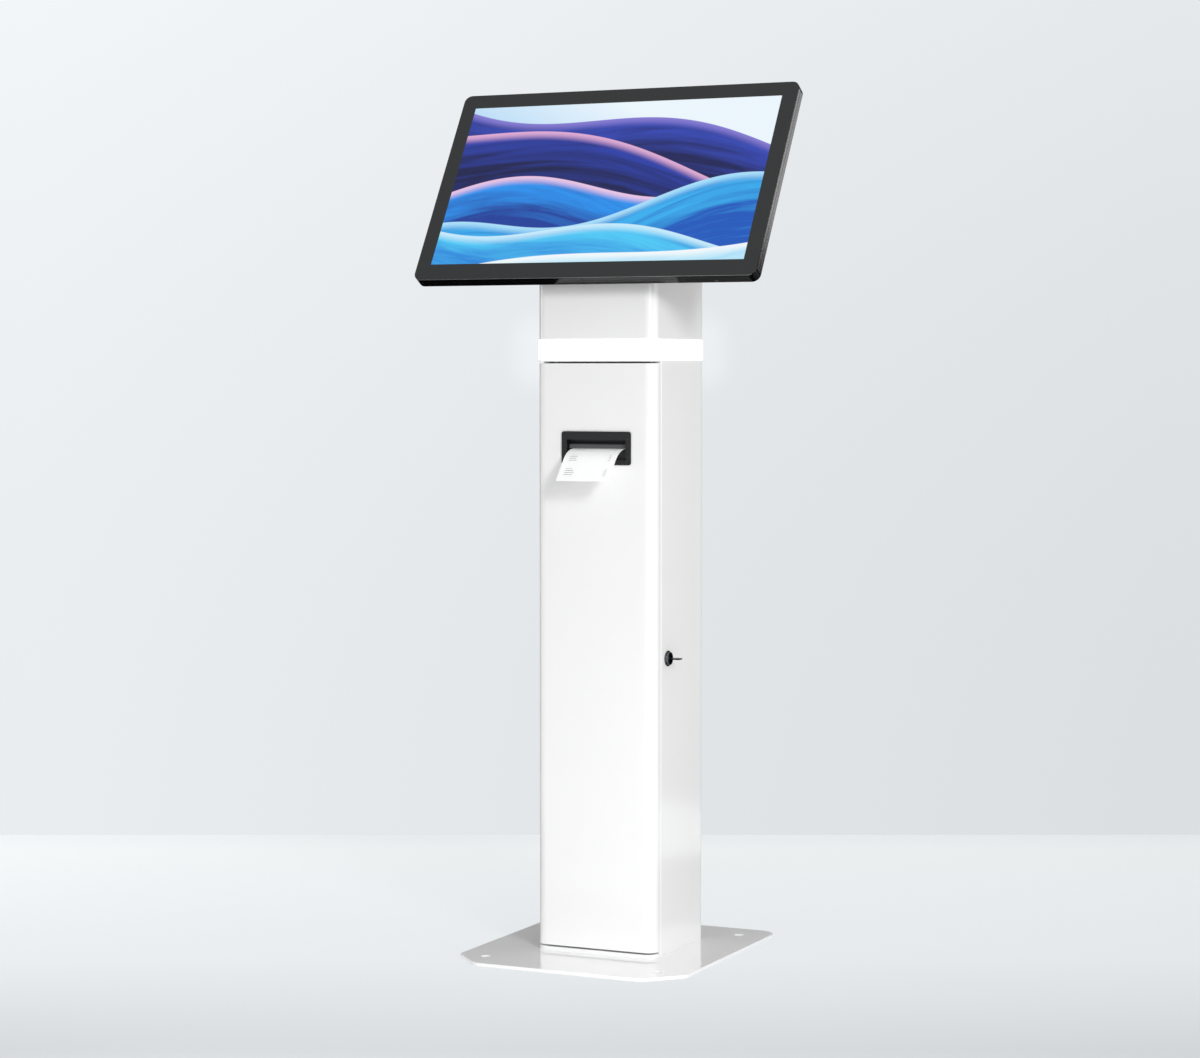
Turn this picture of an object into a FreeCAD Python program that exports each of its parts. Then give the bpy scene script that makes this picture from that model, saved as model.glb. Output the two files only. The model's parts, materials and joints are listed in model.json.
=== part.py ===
import FreeCAD, Part
import Sketcher
import math
import os
import re

# Kiosk floor stand: floor plate, sheet-steel column with a door, lit ring, tilting touch display.
# Millimetres and degrees. The origin is the centre of the floor plate's underside, +Z is up,
# the door and the screen face -Y. The pieces stand closed, unlocked and at the photographed tilt.

doc = FreeCAD.newDocument("KioskFloorStand")

sizes = {
    # Floor plate
    "baseWidth": 347.0,
    "baseDepth": 385.0,
    "baseThick": 5.0,
    "frontChamfer": 48.0,
    "chamferRound": 18.0,
    "backRound": 26.0,
    "anchorHole": 13.5,
    "anchorSpanWide": 262.0,
    "anchorSpanDeep": 292.0,
    "cableHole": 50.0,
    # Column
    "columnWidth": 182.0,
    "columnDepth": 172.5,
    "columnShift": 18.25,
    "sheet": 2.0,
    "frontRadius": 16.0,
    "backRadius": 7.5,
    "wallFlange": 10.0,
    "weldGap": 0.2,
    "footThick": 5.0,
    "headerThick": 2.5,
    "ledFloor": 838.0,
    # Joints between the foot plate and the floor plate
    "footScrew": 8.0,
    "footScrewHead": 16.6,
    "footScrewSpanWide": 130.0,
    "footScrewSpanDeep": 96.0,
    "footNutFlats": 13.0,
    "footNutHeight": 6.5,
    "screwPlay": 0.1,
    # Rear openings
    "ventWidth": 3.0,
    "ventHeight": 34.0,
    "ventPitch": 10.0,
    "ventDrop": 68.0,
    "ventSpread": 170.0,
    "inletHeight": 60.0,
    "inletWidth": 27.5,
    "inletTall": 20.0,
    "inletFlangeWidth": 40.0,
    "inletFlangeTall": 26.0,
    "inletFlange": 2.5,
    "inletDeep": 22.0,
    # Door
    "doorSheet": 1.5,
    "doorReturn": 22.5,
    "seamGap": 1.0,
    "doorGap": 2.4,
    "doorLip": 8.5,
    "stiffenerWidth": 30.0,
    "stiffenerDeep": 12.0,
    "stiffenerFoot": 47.6,
    "stiffenerGap": 32.0,
    "bumperRadius": 3.0,
    "bumperThick": 0.7,
    # Hinges on the left-hand seam
    "barrelRadius": 2.2,
    "barrelHeight": 26.0,
    "barrelPlay": 0.15,
    "barrelStep": 0.4,
    "pinRadius": 1.1,
    "runningPlay": 0.05,
    "tabThick": 0.8,
    "tabWidth": 10.0,
    "doorTabWidth": 6.0,
    "hingeEnd": 70.0,
    # Lit ring
    "ledHeight": 28.0,
    "ringProud": 1.0,
    "ringWall": 3.0,
    "carrierInset": 5.0,
    "carrierWall": 5.0,
    "tieBossRadius": 8.0,
    "stripThick": 1.0,
    "stripTall": 12.0,
    "chipSize": 5.0,
    "chipThick": 1.3,
    # Upper column
    "neckHeight": 86.0,
    "neckPlate": 3.0,
    "tieScrew": 6.0,
    "tieInset": 17.0,
    "tieFront": 32.0,
    "tieBack": 32.0,
    "tieHead": 5.0,
    "neckCableHole": 40.0,
    # Display housing, in its own frame: width, height up the glass, depth behind the glass
    "screenTilt": 31.0,
    "screenAhead": 53.45,
    "screenRise": 131.2,
    "glassWidth": 520.0,
    "glassHeight": 316.0,
    "glassThick": 1.8,
    "glassRadius": 11.0,
    "frameDepth": 9.0,
    "rimDepth": 18.0,
    "rimWall": 7.0,
    "backWall": 2.5,
    "bulgeDepth": 42.0,
    "bulgeWidth": 400.0,
    "bulgeHeight": 210.0,
    "bulgeTaper": 18.0,
    "panelSideGap": 6.0,
    "panelEdgeGap": 8.0,
    "panelThick": 9.0,
    "boardWidth": 170.0,
    "boardHeight": 70.0,
    "boardThick": 1.6,
    "boardStandoff": 7.0,
    "boardRise": 42.0,
    "buttonRadius": 2.6,
    "buttonInset": 60.0,
    "housingScrewInset": 90.0,
    "housingVentDrop": 21.0,
    "housingVentTall": 18.0,
    "buttonProud": 0.8,
    "buttonPlay": 0.15,
    # Tilt mount
    "mountPitch": 100.0,
    "mountPlate": 120.0,
    "mountThick": 2.5,
    "mountScrew": 4.0,
    "pivotDepth": 70.0,
    "pivotRise": -20.0,
    "headEar": 42.5,
    "earThick": 2.5,
    "headEarRadius": 12.0,
    "washerThick": 0.9,
    "bracketEarThick": 3.0,
    "bracketEarRadius": 14.0,
    "bracketWidth": 120.0,
    "bracketDeep": 84.0,
    "bracketThick": 3.0,
    "pivotRadius": 4.0,
    # Lock in the right-hand wall
    "lockSetback": 23.5,
    "lockRise": 408.9,
    "lockFlangeRadius": 11.0,
    "lockFlangeThick": 2.0,
    "lockBossRadius": 9.0,
    "lockBossThick": 3.0,
    "lockBarrelRadius": 9.4,
    "lockBarrelLength": 22.0,
    "lockNutFlats": 24.0,
    "lockNutThick": 4.0,
    "plugRadius": 5.5,
    "camThick": 2.5,
    "camReach": 22.0,
    "camHalfWidth": 6.0,
    "camHubRadius": 8.0,
    "shankSide": 7.0,
    "keyThick": 1.8,
    "keyBladeWidth": 7.6,
    "keyBladeLength": 18.0,
    "keyNeck": 3.5,
    "keyBowLength": 12.5,
    "keyBowHalf": 7.0,
    "catchTall": 12.0,
    "catchThick": 2.0,
    "catchAbove": 16.2,
    "catchGap": 1.0,
    # Receipt printer
    "printerX": 3.1,
    "printerDrop": 117.8,
    "bezelLip": 4.0,
    "bezelLipTall": 3.75,
    "bezelHeight": 46.5,
    "bezelRadius": 3.5,
    "bezelProud": 2.0,
    "bezelSideWall": 4.0,
    "bezelBodyDeep": 10.0,
    "bezelCutPlay": 0.5,
    "bezelBackWall": 2.0,
    "recessSide": 5.0,
    "recessBelow": 16.8,
    "recessAbove": 11.7,
    "lipAbove": 6.5,
    "slotDrop": 0.9,
    "slotSide": 3.0,
    "paperWidth": 80.0,
    "paperThick": 0.3,
    "paperBendRadius": 44.0,
    "paperBendAngle": 50.0,
    "paperTail": 36.0,
    "tearBarSide": 4.0,
    "tearBarTall": 5.4,
    "tearBarDeep": 4.0,
    "tearBarGap": 0.3,
    "chassisWall": 2.5,
    "rollSideGap": 6.5,
    "rollGap": 3.5,
    "chassisAbove": 20.7,
    "cheekBelow": 25.3,
    "cheekBehind": 4.0,
    "earReach": 11.5,
    "printerEarThick": 2.2,
    "studRadius": 1.5,
    "studLength": 6.0,
    "studNutFlats": 5.5,
    "studNutThick": 2.4,
    "studSpanTall": 34.0,
    "rollRadius": 28.0,
    "rollPlatenGap": 6.5,
    "rollBore": 6.2,
    "spindlePlay": 0.1,
    "rubGap": 0.3,
    "platenRadius": 6.0,
    "platenSetback": 9.5,
    "platenShaft": 3.0,
    "headDeep": 11.0,
    "headTall": 6.0,
    "springRadius": 2.5,
    "gearModule": 1.0,
    "platenTeeth": 24.0,
    "motorTeeth": 12.0,
    "gearWidth": 4.0,
    "gearGap": 0.5,
    "gearSlack": 0.3,
    "motorSetback": 14.5,
    "motorRadius": 8.0,
    "motorLength": 5.5,
    "motorShaft": 1.5,
    "lensRadius": 1.1,
    "lensInset": 4.2,
    "lensDrop": 10.75,
    "lensProud": 0.2,
    # Equipment inside the column
    "trayWidth": 140.0,
    "trayLow": 120.0,
    "trayTall": 400.0,
    "trayThick": 1.5,
    "trayStandoff": 6.0,
    "supplyWidth": 110.0,
    "supplyDeep": 36.0,
    "supplyTall": 150.0,
    "supplyLow": 150.0,
    "computerWidth": 120.0,
    "computerDeep": 34.0,
    "computerTall": 130.0,
    "computerGap": 50.0,
}

# Places that several pieces share, worked out from the sizes.
places = {
    "columnMiddle": "columnShift",
    "columnFront": "columnMiddle - columnDepth/2",
    "columnBack": "columnFront + columnDepth",
    "columnSide": "columnWidth/2",
    "innerSide": "columnSide - sheet",
    "innerBack": "columnBack - sheet",
    "seam": "columnFront + doorReturn",
    "wallFront": "seam + seamGap",
    "footTop": "baseThick + footThick",
    "doorBottom": "footTop + doorGap",
    "headerBottom": "ledFloor - headerThick",
    "doorTop": "headerBottom - doorGap",
    "ledTop": "ledFloor + ledHeight",
    "neckTop": "ledTop + neckHeight",
    "capTop": "neckTop + neckPlate",
    "doorInside": "columnFront + doorSheet",
    "hingeX": "-columnSide - barrelRadius - barrelPlay",
    "hingeY": "seam + seamGap/2",
    "screenY": "columnMiddle - screenAhead",
    "screenZ": "capTop + screenRise",
    "panelWidth": "glassWidth - 2*rimWall - 2*panelSideGap",
    "panelHeight": "glassHeight - 2*rimWall - 2*panelEdgeGap",
    "buttonX": "glassWidth/2 - buttonInset",
    "pivotY": "screenY + pivotDepth*cos(screenTilt) + pivotRise*sin(screenTilt)",
    "pivotZ": "screenZ - pivotDepth*sin(screenTilt) + pivotRise*cos(screenTilt)",
    "bracketEar": "headEar + washerThick + 2*runningPlay",
    "bracketTop": "capTop + bracketThick",
    "stiffenerLow": "doorBottom + stiffenerFoot",
    "stiffenerHigh": "chassisLow - stiffenerGap",
    "hingeLow": "doorBottom + hingeEnd",
    "hingePitch": "(doorTop - doorBottom - 2*hingeEnd - 2*barrelHeight - barrelStep)/2",
    "lockY": "seam + lockSetback",
    "lockHeight": "doorBottom + lockRise",
    "camFront": "columnSide - lockBarrelLength",
    "camBack": "camFront - camThick",
    "lockFace": "columnSide + lockFlangeThick + lockBossThick",
    "recessWidth": "paperWidth + 2*recessSide",
    "bezelBodyWidth": "recessWidth + 2*bezelSideWall",
    "bezelWidth": "bezelBodyWidth + 2*bezelLip",
    "bezelBodyHeight": "bezelHeight - 2*bezelLipTall",
    "bezelMiddle": "doorTop - printerDrop",
    "recessLow": "bezelMiddle - recessBelow",
    "recessHigh": "bezelMiddle + recessAbove",
    "recessLip": "bezelMiddle + lipAbove",
    "slotHeight": "bezelMiddle - slotDrop",
    "slotWidth": "paperWidth + 2*slotSide",
    "tearBarWidth": "paperWidth + 2*tearBarSide",
    "bezelBack": "columnFront + bezelBodyDeep",
    "bezelFace": "columnFront - bezelProud",
    "paperTop": "slotHeight + paperThick/2",
    "paperUnder": "slotHeight - paperThick/2",
    "platenY": "bezelBack + platenSetback",
    "rollY": "platenY + platenRadius + rollPlatenGap + rollRadius",
    "rollZ": "paperUnder - rubGap - rollRadius",
    "platenZ": "paperUnder - rubGap - platenRadius",
    "chassisInner": "paperWidth + 2*rollSideGap",
    "chassisSide": "chassisInner/2 + chassisWall",
    "chassisLow": "rollZ - rollRadius - rollGap - chassisWall",
    "chassisHigh": "bezelMiddle + chassisAbove",
    "chassisBack": "rollY + rollRadius + rollGap + chassisWall",
    "cheekBack": "motorY + cheekBehind",
    "cheekLow": "bezelMiddle - cheekBelow",
    "cheekSide": "chassisSide + chassisWall",
    "motorY": "platenY + motorSetback",
    "gearDistance": "gearModule*(round(platenTeeth) + round(motorTeeth))/2",
    "motorZ": "platenZ + sqrt(gearDistance*gearDistance - motorSetback*motorSetback)",
    "trayFront": "innerBack - trayStandoff - trayThick",
    "trayHigh": "trayLow + trayTall",
    "computerLow": "supplyLow + supplyTall + computerGap",
    "ringInnerSide": "columnSide - carrierInset - carrierWall",
}

sheet = doc.addObject("Spreadsheet::Sheet", "Sizes")
for row, (name, value) in enumerate(sizes.items(), 1):
    sheet.set("A%d" % row, name)
    sheet.set("B%d" % row, str(value))
    sheet.setAlias("B%d" % row, name)
doc.recompute()

probe = doc.addObject("App::FeaturePython", "Probe")
probe.addProperty("App::PropertyFloat", "reading")
nodes = []


def spell(text):
    # Writes a text out in the names of the sheet's cells.
    def word(match):
        name = match.group(0)
        if name in places:
            return "(" + spell(places[name]) + ")"
        return "Sizes." + name if name in sizes else name
    return re.sub(r"[A-Za-z_]\w*", word, str(text))


def number(text):
    # What a text comes to at present.
    probe.setExpression("reading", spell(text))
    probe.recompute()
    return probe.reading


def bind(thing, texts):
    for name, text in texts.items():
        thing.setExpression(name, spell(text))


def keep(thing, label):
    thing.Label = label
    nodes.append(thing)
    return thing


# Primitives. A span is a pair of texts, and "at" is the place on the two other axes.

turns = {
    "x": FreeCAD.Rotation(FreeCAD.Vector(0, 1, 0), 90),
    "y": FreeCAD.Rotation(FreeCAD.Vector(1, 0, 0), -90),
    "z": FreeCAD.Rotation(),
}


def block(name, x, y, z):
    box = doc.addObject("Part::Box", name)
    for side, axis, span in (("Length", "x", x), ("Width", "y", y), ("Height", "z", z)):
        bind(box, {side: "(%s) - (%s)" % (span[1], span[0]), "Placement.Base." + axis: span[0]})
    return box


def lay(solid, axis, span, at):
    solid.Placement = FreeCAD.Placement(FreeCAD.Vector(), turns[axis])
    first, second = [letter for letter in "xyz" if letter != axis]
    bind(solid, {"Height": "(%s) - (%s)" % (span[1], span[0]),
                 "Placement.Base." + axis: span[0],
                 "Placement.Base." + first: at[0],
                 "Placement.Base." + second: at[1]})
    return solid


def rod(name, axis, span, at, radius):
    cylinder = doc.addObject("Part::Cylinder", name)
    bind(cylinder, {"Radius": radius})
    return lay(cylinder, axis, span, at)


def cone(name, axis, span, at, low, high):
    solid = doc.addObject("Part::Cone", name)
    bind(solid, {"Radius1": low, "Radius2": high})
    return lay(solid, axis, span, at)


def hexagon(name, axis, span, at, flats):
    prism = doc.addObject("Part::Prism", name)
    prism.Polygon = 6
    bind(prism, {"Circumradius": "(%s)/2/cos(30)" % flats})
    return lay(prism, axis, span, at)


def fuse(name, parts):
    union = doc.addObject("Part::MultiFuse", name)
    union.Shapes = parts
    return union


def cut(name, base, tools):
    difference = doc.addObject("Part::Cut", name)
    difference.Base = base
    difference.Tool = tools[0] if len(tools) == 1 else fuse(name + "Tools", tools)
    return difference


def together(name, parts):
    group = doc.addObject("Part::Compound", name)
    group.Links = parts
    return group


def four(wide, deep, middle="0"):
    # The corners of a rectangle of the given spans, centred on x = 0 and the middle.
    return [("%s(%s)/2" % (a, wide), "%s %s (%s)/2" % (middle, b, deep)) for a in "-+" for b in "-+"]


# Bodies made of sketches and features.

planeRoles = {"XY": "XY_Plane", "XZ": "XZ_Plane", "YZ": "YZ_Plane"}


def newBody(label):
    body = doc.addObject("PartDesign::Body", label)
    return keep(body, label)


def sketchOn(body, plane, at="0"):
    # A sketch across the body: XY at a height, XZ at a depth, YZ at a distance to the right.
    sketch = body.newObject("Sketcher::SketchObject", body.Name + "Sketch")
    origin = [part for part in body.Origin.OriginFeatures if part.Role == planeRoles[plane]][0]
    sketch.AttachmentSupport = [(origin, "")]
    sketch.MapMode = "FlatFace"
    bind(sketch, {"AttachmentOffset.Base.z": "-(%s)" % at if plane == "XZ" else at})
    return sketch


def fix(sketch, kind, geometry, point, text):
    place = sketch.addConstraint(Sketcher.Constraint(kind, geometry, point, 1.0))
    bind(sketch, {"Constraints[%d]" % place: text})


def outline(sketch, corners):
    # A closed outline of straight sides through corners given as pairs of texts.
    count = len(corners)
    first = sketch.GeometryCount
    start = [FreeCAD.Vector(math.cos(2*math.pi*i/count), math.sin(2*math.pi*i/count), 0)
             for i in range(count)]
    for i in range(count):
        sketch.addGeometry(Part.LineSegment(start[i], start[(i + 1) % count]), False)
    for i in range(count):
        sketch.addConstraint(Sketcher.Constraint("Coincident", first + i, 2, first + (i + 1) % count, 1))
    for i, (across, up) in enumerate(corners):
        fix(sketch, "DistanceX", first + i, 1, across)
        fix(sketch, "DistanceY", first + i, 1, up)


def rectangle(sketch, across, up):
    outline(sketch, [(across[0], up[0]), (across[1], up[0]), (across[1], up[1]), (across[0], up[1])])


def circle(sketch, across, up, radius):
    place = sketch.GeometryCount
    sketch.addGeometry(Part.Circle(FreeCAD.Vector(), FreeCAD.Vector(0, 0, 1), 1.0), False)
    fix(sketch, "DistanceX", place, 3, across)
    fix(sketch, "DistanceY", place, 3, up)
    size = sketch.addConstraint(Sketcher.Constraint("Radius", place, 1.0))
    bind(sketch, {"Constraints[%d]" % size: radius})


# A pad grows towards +X, +Y or +Z, and a pocket cuts that way too, unless "back" is set.

def pad(body, sketch, length, back=False, taper=None):
    feature = body.newObject("PartDesign::Pad", body.Name + "Pad")
    feature.Profile = sketch
    grows = "XZ" in sketch.AttachmentSupport[0][0].Role
    feature.Reversed = grows != back
    bind(feature, {"Length": length})
    if taper:
        bind(feature, {"TaperAngle": taper})
    doc.recompute()
    return feature


def pocket(body, sketch, length, back=False, taper=None):
    before = body.Shape.Volume
    feature = body.newObject("PartDesign::Pocket", body.Name + "Pocket")
    feature.Profile = sketch
    cuts = "XZ" in sketch.AttachmentSupport[0][0].Role
    feature.Reversed = cuts == back
    bind(feature, {"Length": length})
    if taper:
        bind(feature, {"TaperAngle": taper})
    doc.recompute()
    if not body.Shape.Volume < before:
        raise RuntimeError(body.Label + ": a pocket cuts nothing")
    return feature


def edgesAlong(body, axis, spots, within=None):
    # Names of the straight edges along an axis that pass through spots on the other two axes.
    across = [letter for letter in "xyz" if letter != axis]
    wanted = [(number(a), number(b)) for a, b in spots]
    names = []
    for place, edge in enumerate(body.Shape.Edges, 1):
        if len(edge.Vertexes) != 2:
            continue
        ends = [vertex.Point for vertex in edge.Vertexes]
        for spot in wanted:
            if all(abs(getattr(end, letter) - value) < 0.01
                   for end in ends for letter, value in zip(across, spot)):
                names.append("Edge%d" % place)
    return names


def roundOff(body, radius, names):
    if not names:
        raise RuntimeError(body.Label + ": no edge to round")
    tip = body.Tip
    feature = body.newObject("PartDesign::Fillet", body.Name + "Fillet")
    feature.Base = (tip, names)
    bind(feature, {"Radius": radius})
    doc.recompute()


def bevel(body, size, names):
    if not names:
        raise RuntimeError(body.Label + ": no edge to bevel")
    tip = body.Tip
    feature = body.newObject("PartDesign::Chamfer", body.Name + "Chamfer")
    feature.Base = (tip, names)
    bind(feature, {"Size": size})
    doc.recompute()


def leanBack(thing):
    # Puts a piece that was made flat in the display's own frame where the display is.
    thing.Placement = FreeCAD.Placement(FreeCAD.Vector(), FreeCAD.Rotation(FreeCAD.Vector(1, 0, 0), -1))
    bind(thing, {"Placement.Rotation.Angle": "-screenTilt",
                 "Placement.Base.y": "screenY",
                 "Placement.Base.z": "screenZ"})


# Floor plate and its fasteners

anchorSpots = four("anchorSpanWide", "anchorSpanDeep")
footSpots = four("footScrewSpanWide", "footScrewSpanDeep", "columnMiddle")


def makeBasePlate():
    body = newBody("base_plate")
    side, front, back = "baseWidth/2", "-baseDepth/2", "baseDepth/2"
    chamfered = [("-%s" % side, "%s + frontChamfer" % front), ("-%s + frontChamfer" % side, front),
                 ("%s - frontChamfer" % side, front), (side, "%s + frontChamfer" % front)]
    square = [(side, back), ("-%s" % side, back)]
    shape = sketchOn(body, "XY")
    outline(shape, chamfered + square)
    pad(body, shape, "baseThick")
    roundOff(body, "chamferRound", edgesAlong(body, "z", chamfered))
    roundOff(body, "backRound", edgesAlong(body, "z", square))
    holes = sketchOn(body, "XY")
    for x, y in anchorSpots:
        circle(holes, x, y, "anchorHole/2")
    for x, y in footSpots:
        circle(holes, x, y, "footScrew/2 + screwPlay")
    circle(holes, "0", "columnMiddle", "cableHole/2")
    pocket(body, holes, "baseThick")
    sunk = [(number(x), number(y)) for x, y in footSpots]
    names = []
    for place, edge in enumerate(body.Shape.Edges, 1):
        ring = edge.Curve
        if isinstance(ring, Part.Circle) and abs(ring.Center.z) < 0.01:
            if any(abs(ring.Center.x - x) + abs(ring.Center.y - y) < 0.01 for x, y in sunk):
                names.append("Edge%d" % place)
    bevel(body, "(footScrewHead - footScrew)/2 + screwPlay", names)


def makeBaseFasteners():
    parts = []
    sink = "(footScrewHead - footScrew)/2"
    for i, (x, y) in enumerate(footSpots):
        head = cone("FootHead%d" % i, "z", ("screwPlay", sink), (x, y), "footScrewHead/2 - screwPlay", "footScrew/2")
        shank = rod("FootShank%d" % i, "z", (sink, "footTop + footNutHeight + 2"), (x, y), "footScrew/2")
        nut = hexagon("FootNutBlank%d" % i, "z", ("footTop", "footTop + footNutHeight"), (x, y), "footNutFlats")
        bore = rod("FootNutBore%d" % i, "z", ("footTop - 1", "footTop + footNutHeight + 1"), (x, y),
                   "footScrew/2 + runningPlay")
        parts += [fuse("FootScrew%d" % i, [head, shank]), cut("FootNut%d" % i, nut, [bore])]
    keep(together("BaseFasteners", parts), "base_fasteners")


# Column

def closingPlate(label, low, thick):
    # A plate that closes the column: its front edge shows, its rear part lies between the walls.
    body = newBody(label)
    inner = "innerSide - weldGap"
    back = "innerBack - weldGap"
    front = [("-columnSide", "columnFront"), ("columnSide", "columnFront")]
    rear = [(inner, back), ("-(%s)" % inner, back)]
    shape = sketchOn(body, "XY", low)
    outline(shape, front + [("columnSide", "seam"), (inner, "seam")] + rear
            + [("-(%s)" % inner, "seam"), ("-columnSide", "seam")])
    pad(body, shape, thick)
    roundOff(body, "frontRadius", edgesAlong(body, "z", front))
    roundOff(body, "backRadius - sheet", edgesAlong(body, "z", rear))
    return body


def makeFootPlate():
    body = closingPlate("foot_plate", "baseThick", "footThick")
    holes = sketchOn(body, "XY", "baseThick")
    for x, y in footSpots:
        circle(holes, x, y, "footScrew/2 + screwPlay")
    circle(holes, "0", "columnMiddle", "cableHole/2")
    pocket(body, holes, "footThick")


tieSpots = [("%s(columnSide - tieInset)" % side, y) for side in "-+"
            for y in ("columnFront + tieFront", "columnBack - tieBack")]


def makeHeaderPlate():
    body = closingPlate("header_plate", "headerBottom", "headerThick")
    holes = sketchOn(body, "XY", "headerBottom")
    for x, y in tieSpots:
        circle(holes, x, y, "tieScrew/2 + screwPlay")
    rectangle(holes, ("-50", "50"), ("columnMiddle - 34", "columnMiddle + 34"))
    pocket(body, holes, "headerThick")


def makeColumnShell():
    body = newBody("column_shell")
    outer = [("-columnSide", "columnBack"), ("columnSide", "columnBack")]
    inner = [("innerSide", "innerBack"), ("-innerSide", "innerBack")]
    tip = "columnSide - wallFlange"
    turned = "wallFront + sheet"
    shape = sketchOn(body, "XY", "baseThick")
    outline(shape, [("-columnSide", "wallFront")] + outer
            + [("columnSide", "wallFront"), (tip, "wallFront"), (tip, turned), ("innerSide", turned)] + inner
            + [("-innerSide", turned), ("-(%s)" % tip, turned), ("-(%s)" % tip, "wallFront")])
    pad(body, shape, "ledFloor - baseThick")
    roundOff(body, "backRadius - sheet", edgesAlong(body, "z", inner))
    roundOff(body, "backRadius", edgesAlong(body, "z", outer))
    # The flanges stop short of the foot plate and the header plate.
    ends = sketchOn(body, "XZ", "wallFront")
    rectangle(ends, ("-innerSide", "innerSide"), ("baseThick", "footTop + weldGap"))
    rectangle(ends, ("-innerSide", "innerSide"), ("headerBottom - weldGap", "ledFloor"))
    pocket(body, ends, "sheet")
    lock = sketchOn(body, "YZ", "innerSide")
    circle(lock, "lockY", "lockHeight", "lockBarrelRadius + screwPlay")
    pocket(body, lock, "sheet")
    rear = sketchOn(body, "XZ", "innerBack")
    rectangle(rear, ("-inletWidth/2 - weldGap", "inletWidth/2 + weldGap"),
              ("inletHeight - inletTall/2 - weldGap", "inletHeight + inletTall/2 + weldGap"))
    for middleUp in ("ledFloor - ventDrop - ventSpread", "ledFloor - ventDrop"):
        for slot in range(-4, 5):
            middle = "%d*ventPitch" % slot
            rectangle(rear, (middle + " - ventWidth/2", middle + " + ventWidth/2"),
                      ("%s - ventHeight/2" % middleUp, "%s + ventHeight/2" % middleUp))
    pocket(body, rear, "sheet")


# Lit ring between the column and its upper part

def ring(label, outset, wall, low, height, frontRound, backRound, innerFront=None, innerBack=None):
    # A closed ring that follows the column's outline at an outset, with rounded corners.
    body = newBody(label)
    half = "columnSide + (%s)" % outset
    front = "columnFront - (%s)" % outset
    back = "columnBack + (%s)" % outset
    hollow = "%s - (%s)" % (half, wall)
    hollowFront = "%s + (%s)" % (front, wall)
    hollowBack = "%s - (%s)" % (back, wall)
    shape = sketchOn(body, "XY", low)
    rectangle(shape, ("-(%s)" % half, half), (front, back))
    pad(body, shape, height)
    inside = sketchOn(body, "XY", low)
    rectangle(inside, ("-(%s)" % hollow, hollow), (hollowFront, hollowBack))
    pocket(body, inside, height)
    if innerFront:
        roundOff(body, innerFront, edgesAlong(body, "z", [("-(%s)" % hollow, hollowFront), (hollow, hollowFront)]))
    if innerBack:
        roundOff(body, innerBack, edgesAlong(body, "z", [("-(%s)" % hollow, hollowBack), (hollow, hollowBack)]))
    roundOff(body, frontRound, edgesAlong(body, "z", [("-(%s)" % half, front), (half, front)]))
    roundOff(body, backRound, edgesAlong(body, "z", [("-(%s)" % half, back), (half, back)]))
    return body


def makeLitRing():
    carrier = ring("led_carrier", "-carrierInset", "carrierWall", "ledFloor", "ledHeight",
                   "frontRadius - carrierInset", "backRadius - carrierInset", "frontRadius - carrierInset - carrierWall")
    for x, y in tieSpots:
        boss = sketchOn(carrier, "XY", "ledFloor")
        circle(boss, x, y, "tieBossRadius")
        pad(carrier, boss, "ledHeight")
    bores = sketchOn(carrier, "XY", "ledFloor")
    for x, y in tieSpots:
        circle(bores, x, y, "tieScrew/2 + screwPlay")
    pocket(carrier, bores, "ledHeight")
    ring("led_diffuser", "ringProud", "ringWall", "ledFloor", "ledHeight",
         "frontRadius + ringProud", "backRadius + ringProud",
         "frontRadius + ringProud - ringWall", "backRadius + ringProud - ringWall")
    makeStrip()


def makeStrip():
    # A flexible circuit round the carrier, with a row of chips that shine outwards.
    middle = "ledFloor + ledHeight/2"
    low = "%s - stripTall/2" % middle
    high = "%s + stripTall/2" % middle
    chip = ("%s - chipSize/2" % middle, "%s + chipSize/2" % middle)
    half = "columnSide - carrierInset"
    front = "columnFront + carrierInset"
    back = "columnBack - carrierInset"
    parts = []
    for name, spanX, spanY in (
            ("Front", ("-columnSide + frontRadius", "columnSide - frontRadius"), ("%s - stripThick" % front, front)),
            ("Back", ("-columnSide + backRadius", "columnSide - backRadius"), (back, "%s + stripThick" % back)),
            ("Left", ("-(%s) - stripThick" % half, "-(%s)" % half), ("columnFront + frontRadius", "columnBack - backRadius")),
            ("Right", (half, "%s + stripThick" % half), ("columnFront + frontRadius", "columnBack - backRadius"))):
        parts.append(block("Strip" + name, spanX, spanY, (low, high)))
    for i in range(8):
        along = ("-columnSide + frontRadius + %d*(columnWidth - 2*frontRadius)/8" % i,
                 "-columnSide + frontRadius + %d*(columnWidth - 2*frontRadius)/8 + chipSize" % i)
        parts.append(block("ChipFront%d" % i, along, ("%s - stripThick - chipThick" % front, "%s - stripThick" % front), chip))
        parts.append(block("ChipBack%d" % i, along, ("%s + stripThick" % back, "%s + stripThick + chipThick" % back), chip))
        along = ("columnFront + frontRadius + %d*(columnDepth - 2*frontRadius)/8" % i,
                 "columnFront + frontRadius + %d*(columnDepth - 2*frontRadius)/8 + chipSize" % i)
        parts.append(block("ChipLeft%d" % i, ("-(%s) - stripThick - chipThick" % half, "-(%s) - stripThick" % half), along, chip))
        parts.append(block("ChipRight%d" % i, ("%s + stripThick" % half, "%s + stripThick + chipThick" % half), along, chip))
    keep(fuse("LedStrip", parts), "led_strip")


# Upper column

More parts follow.
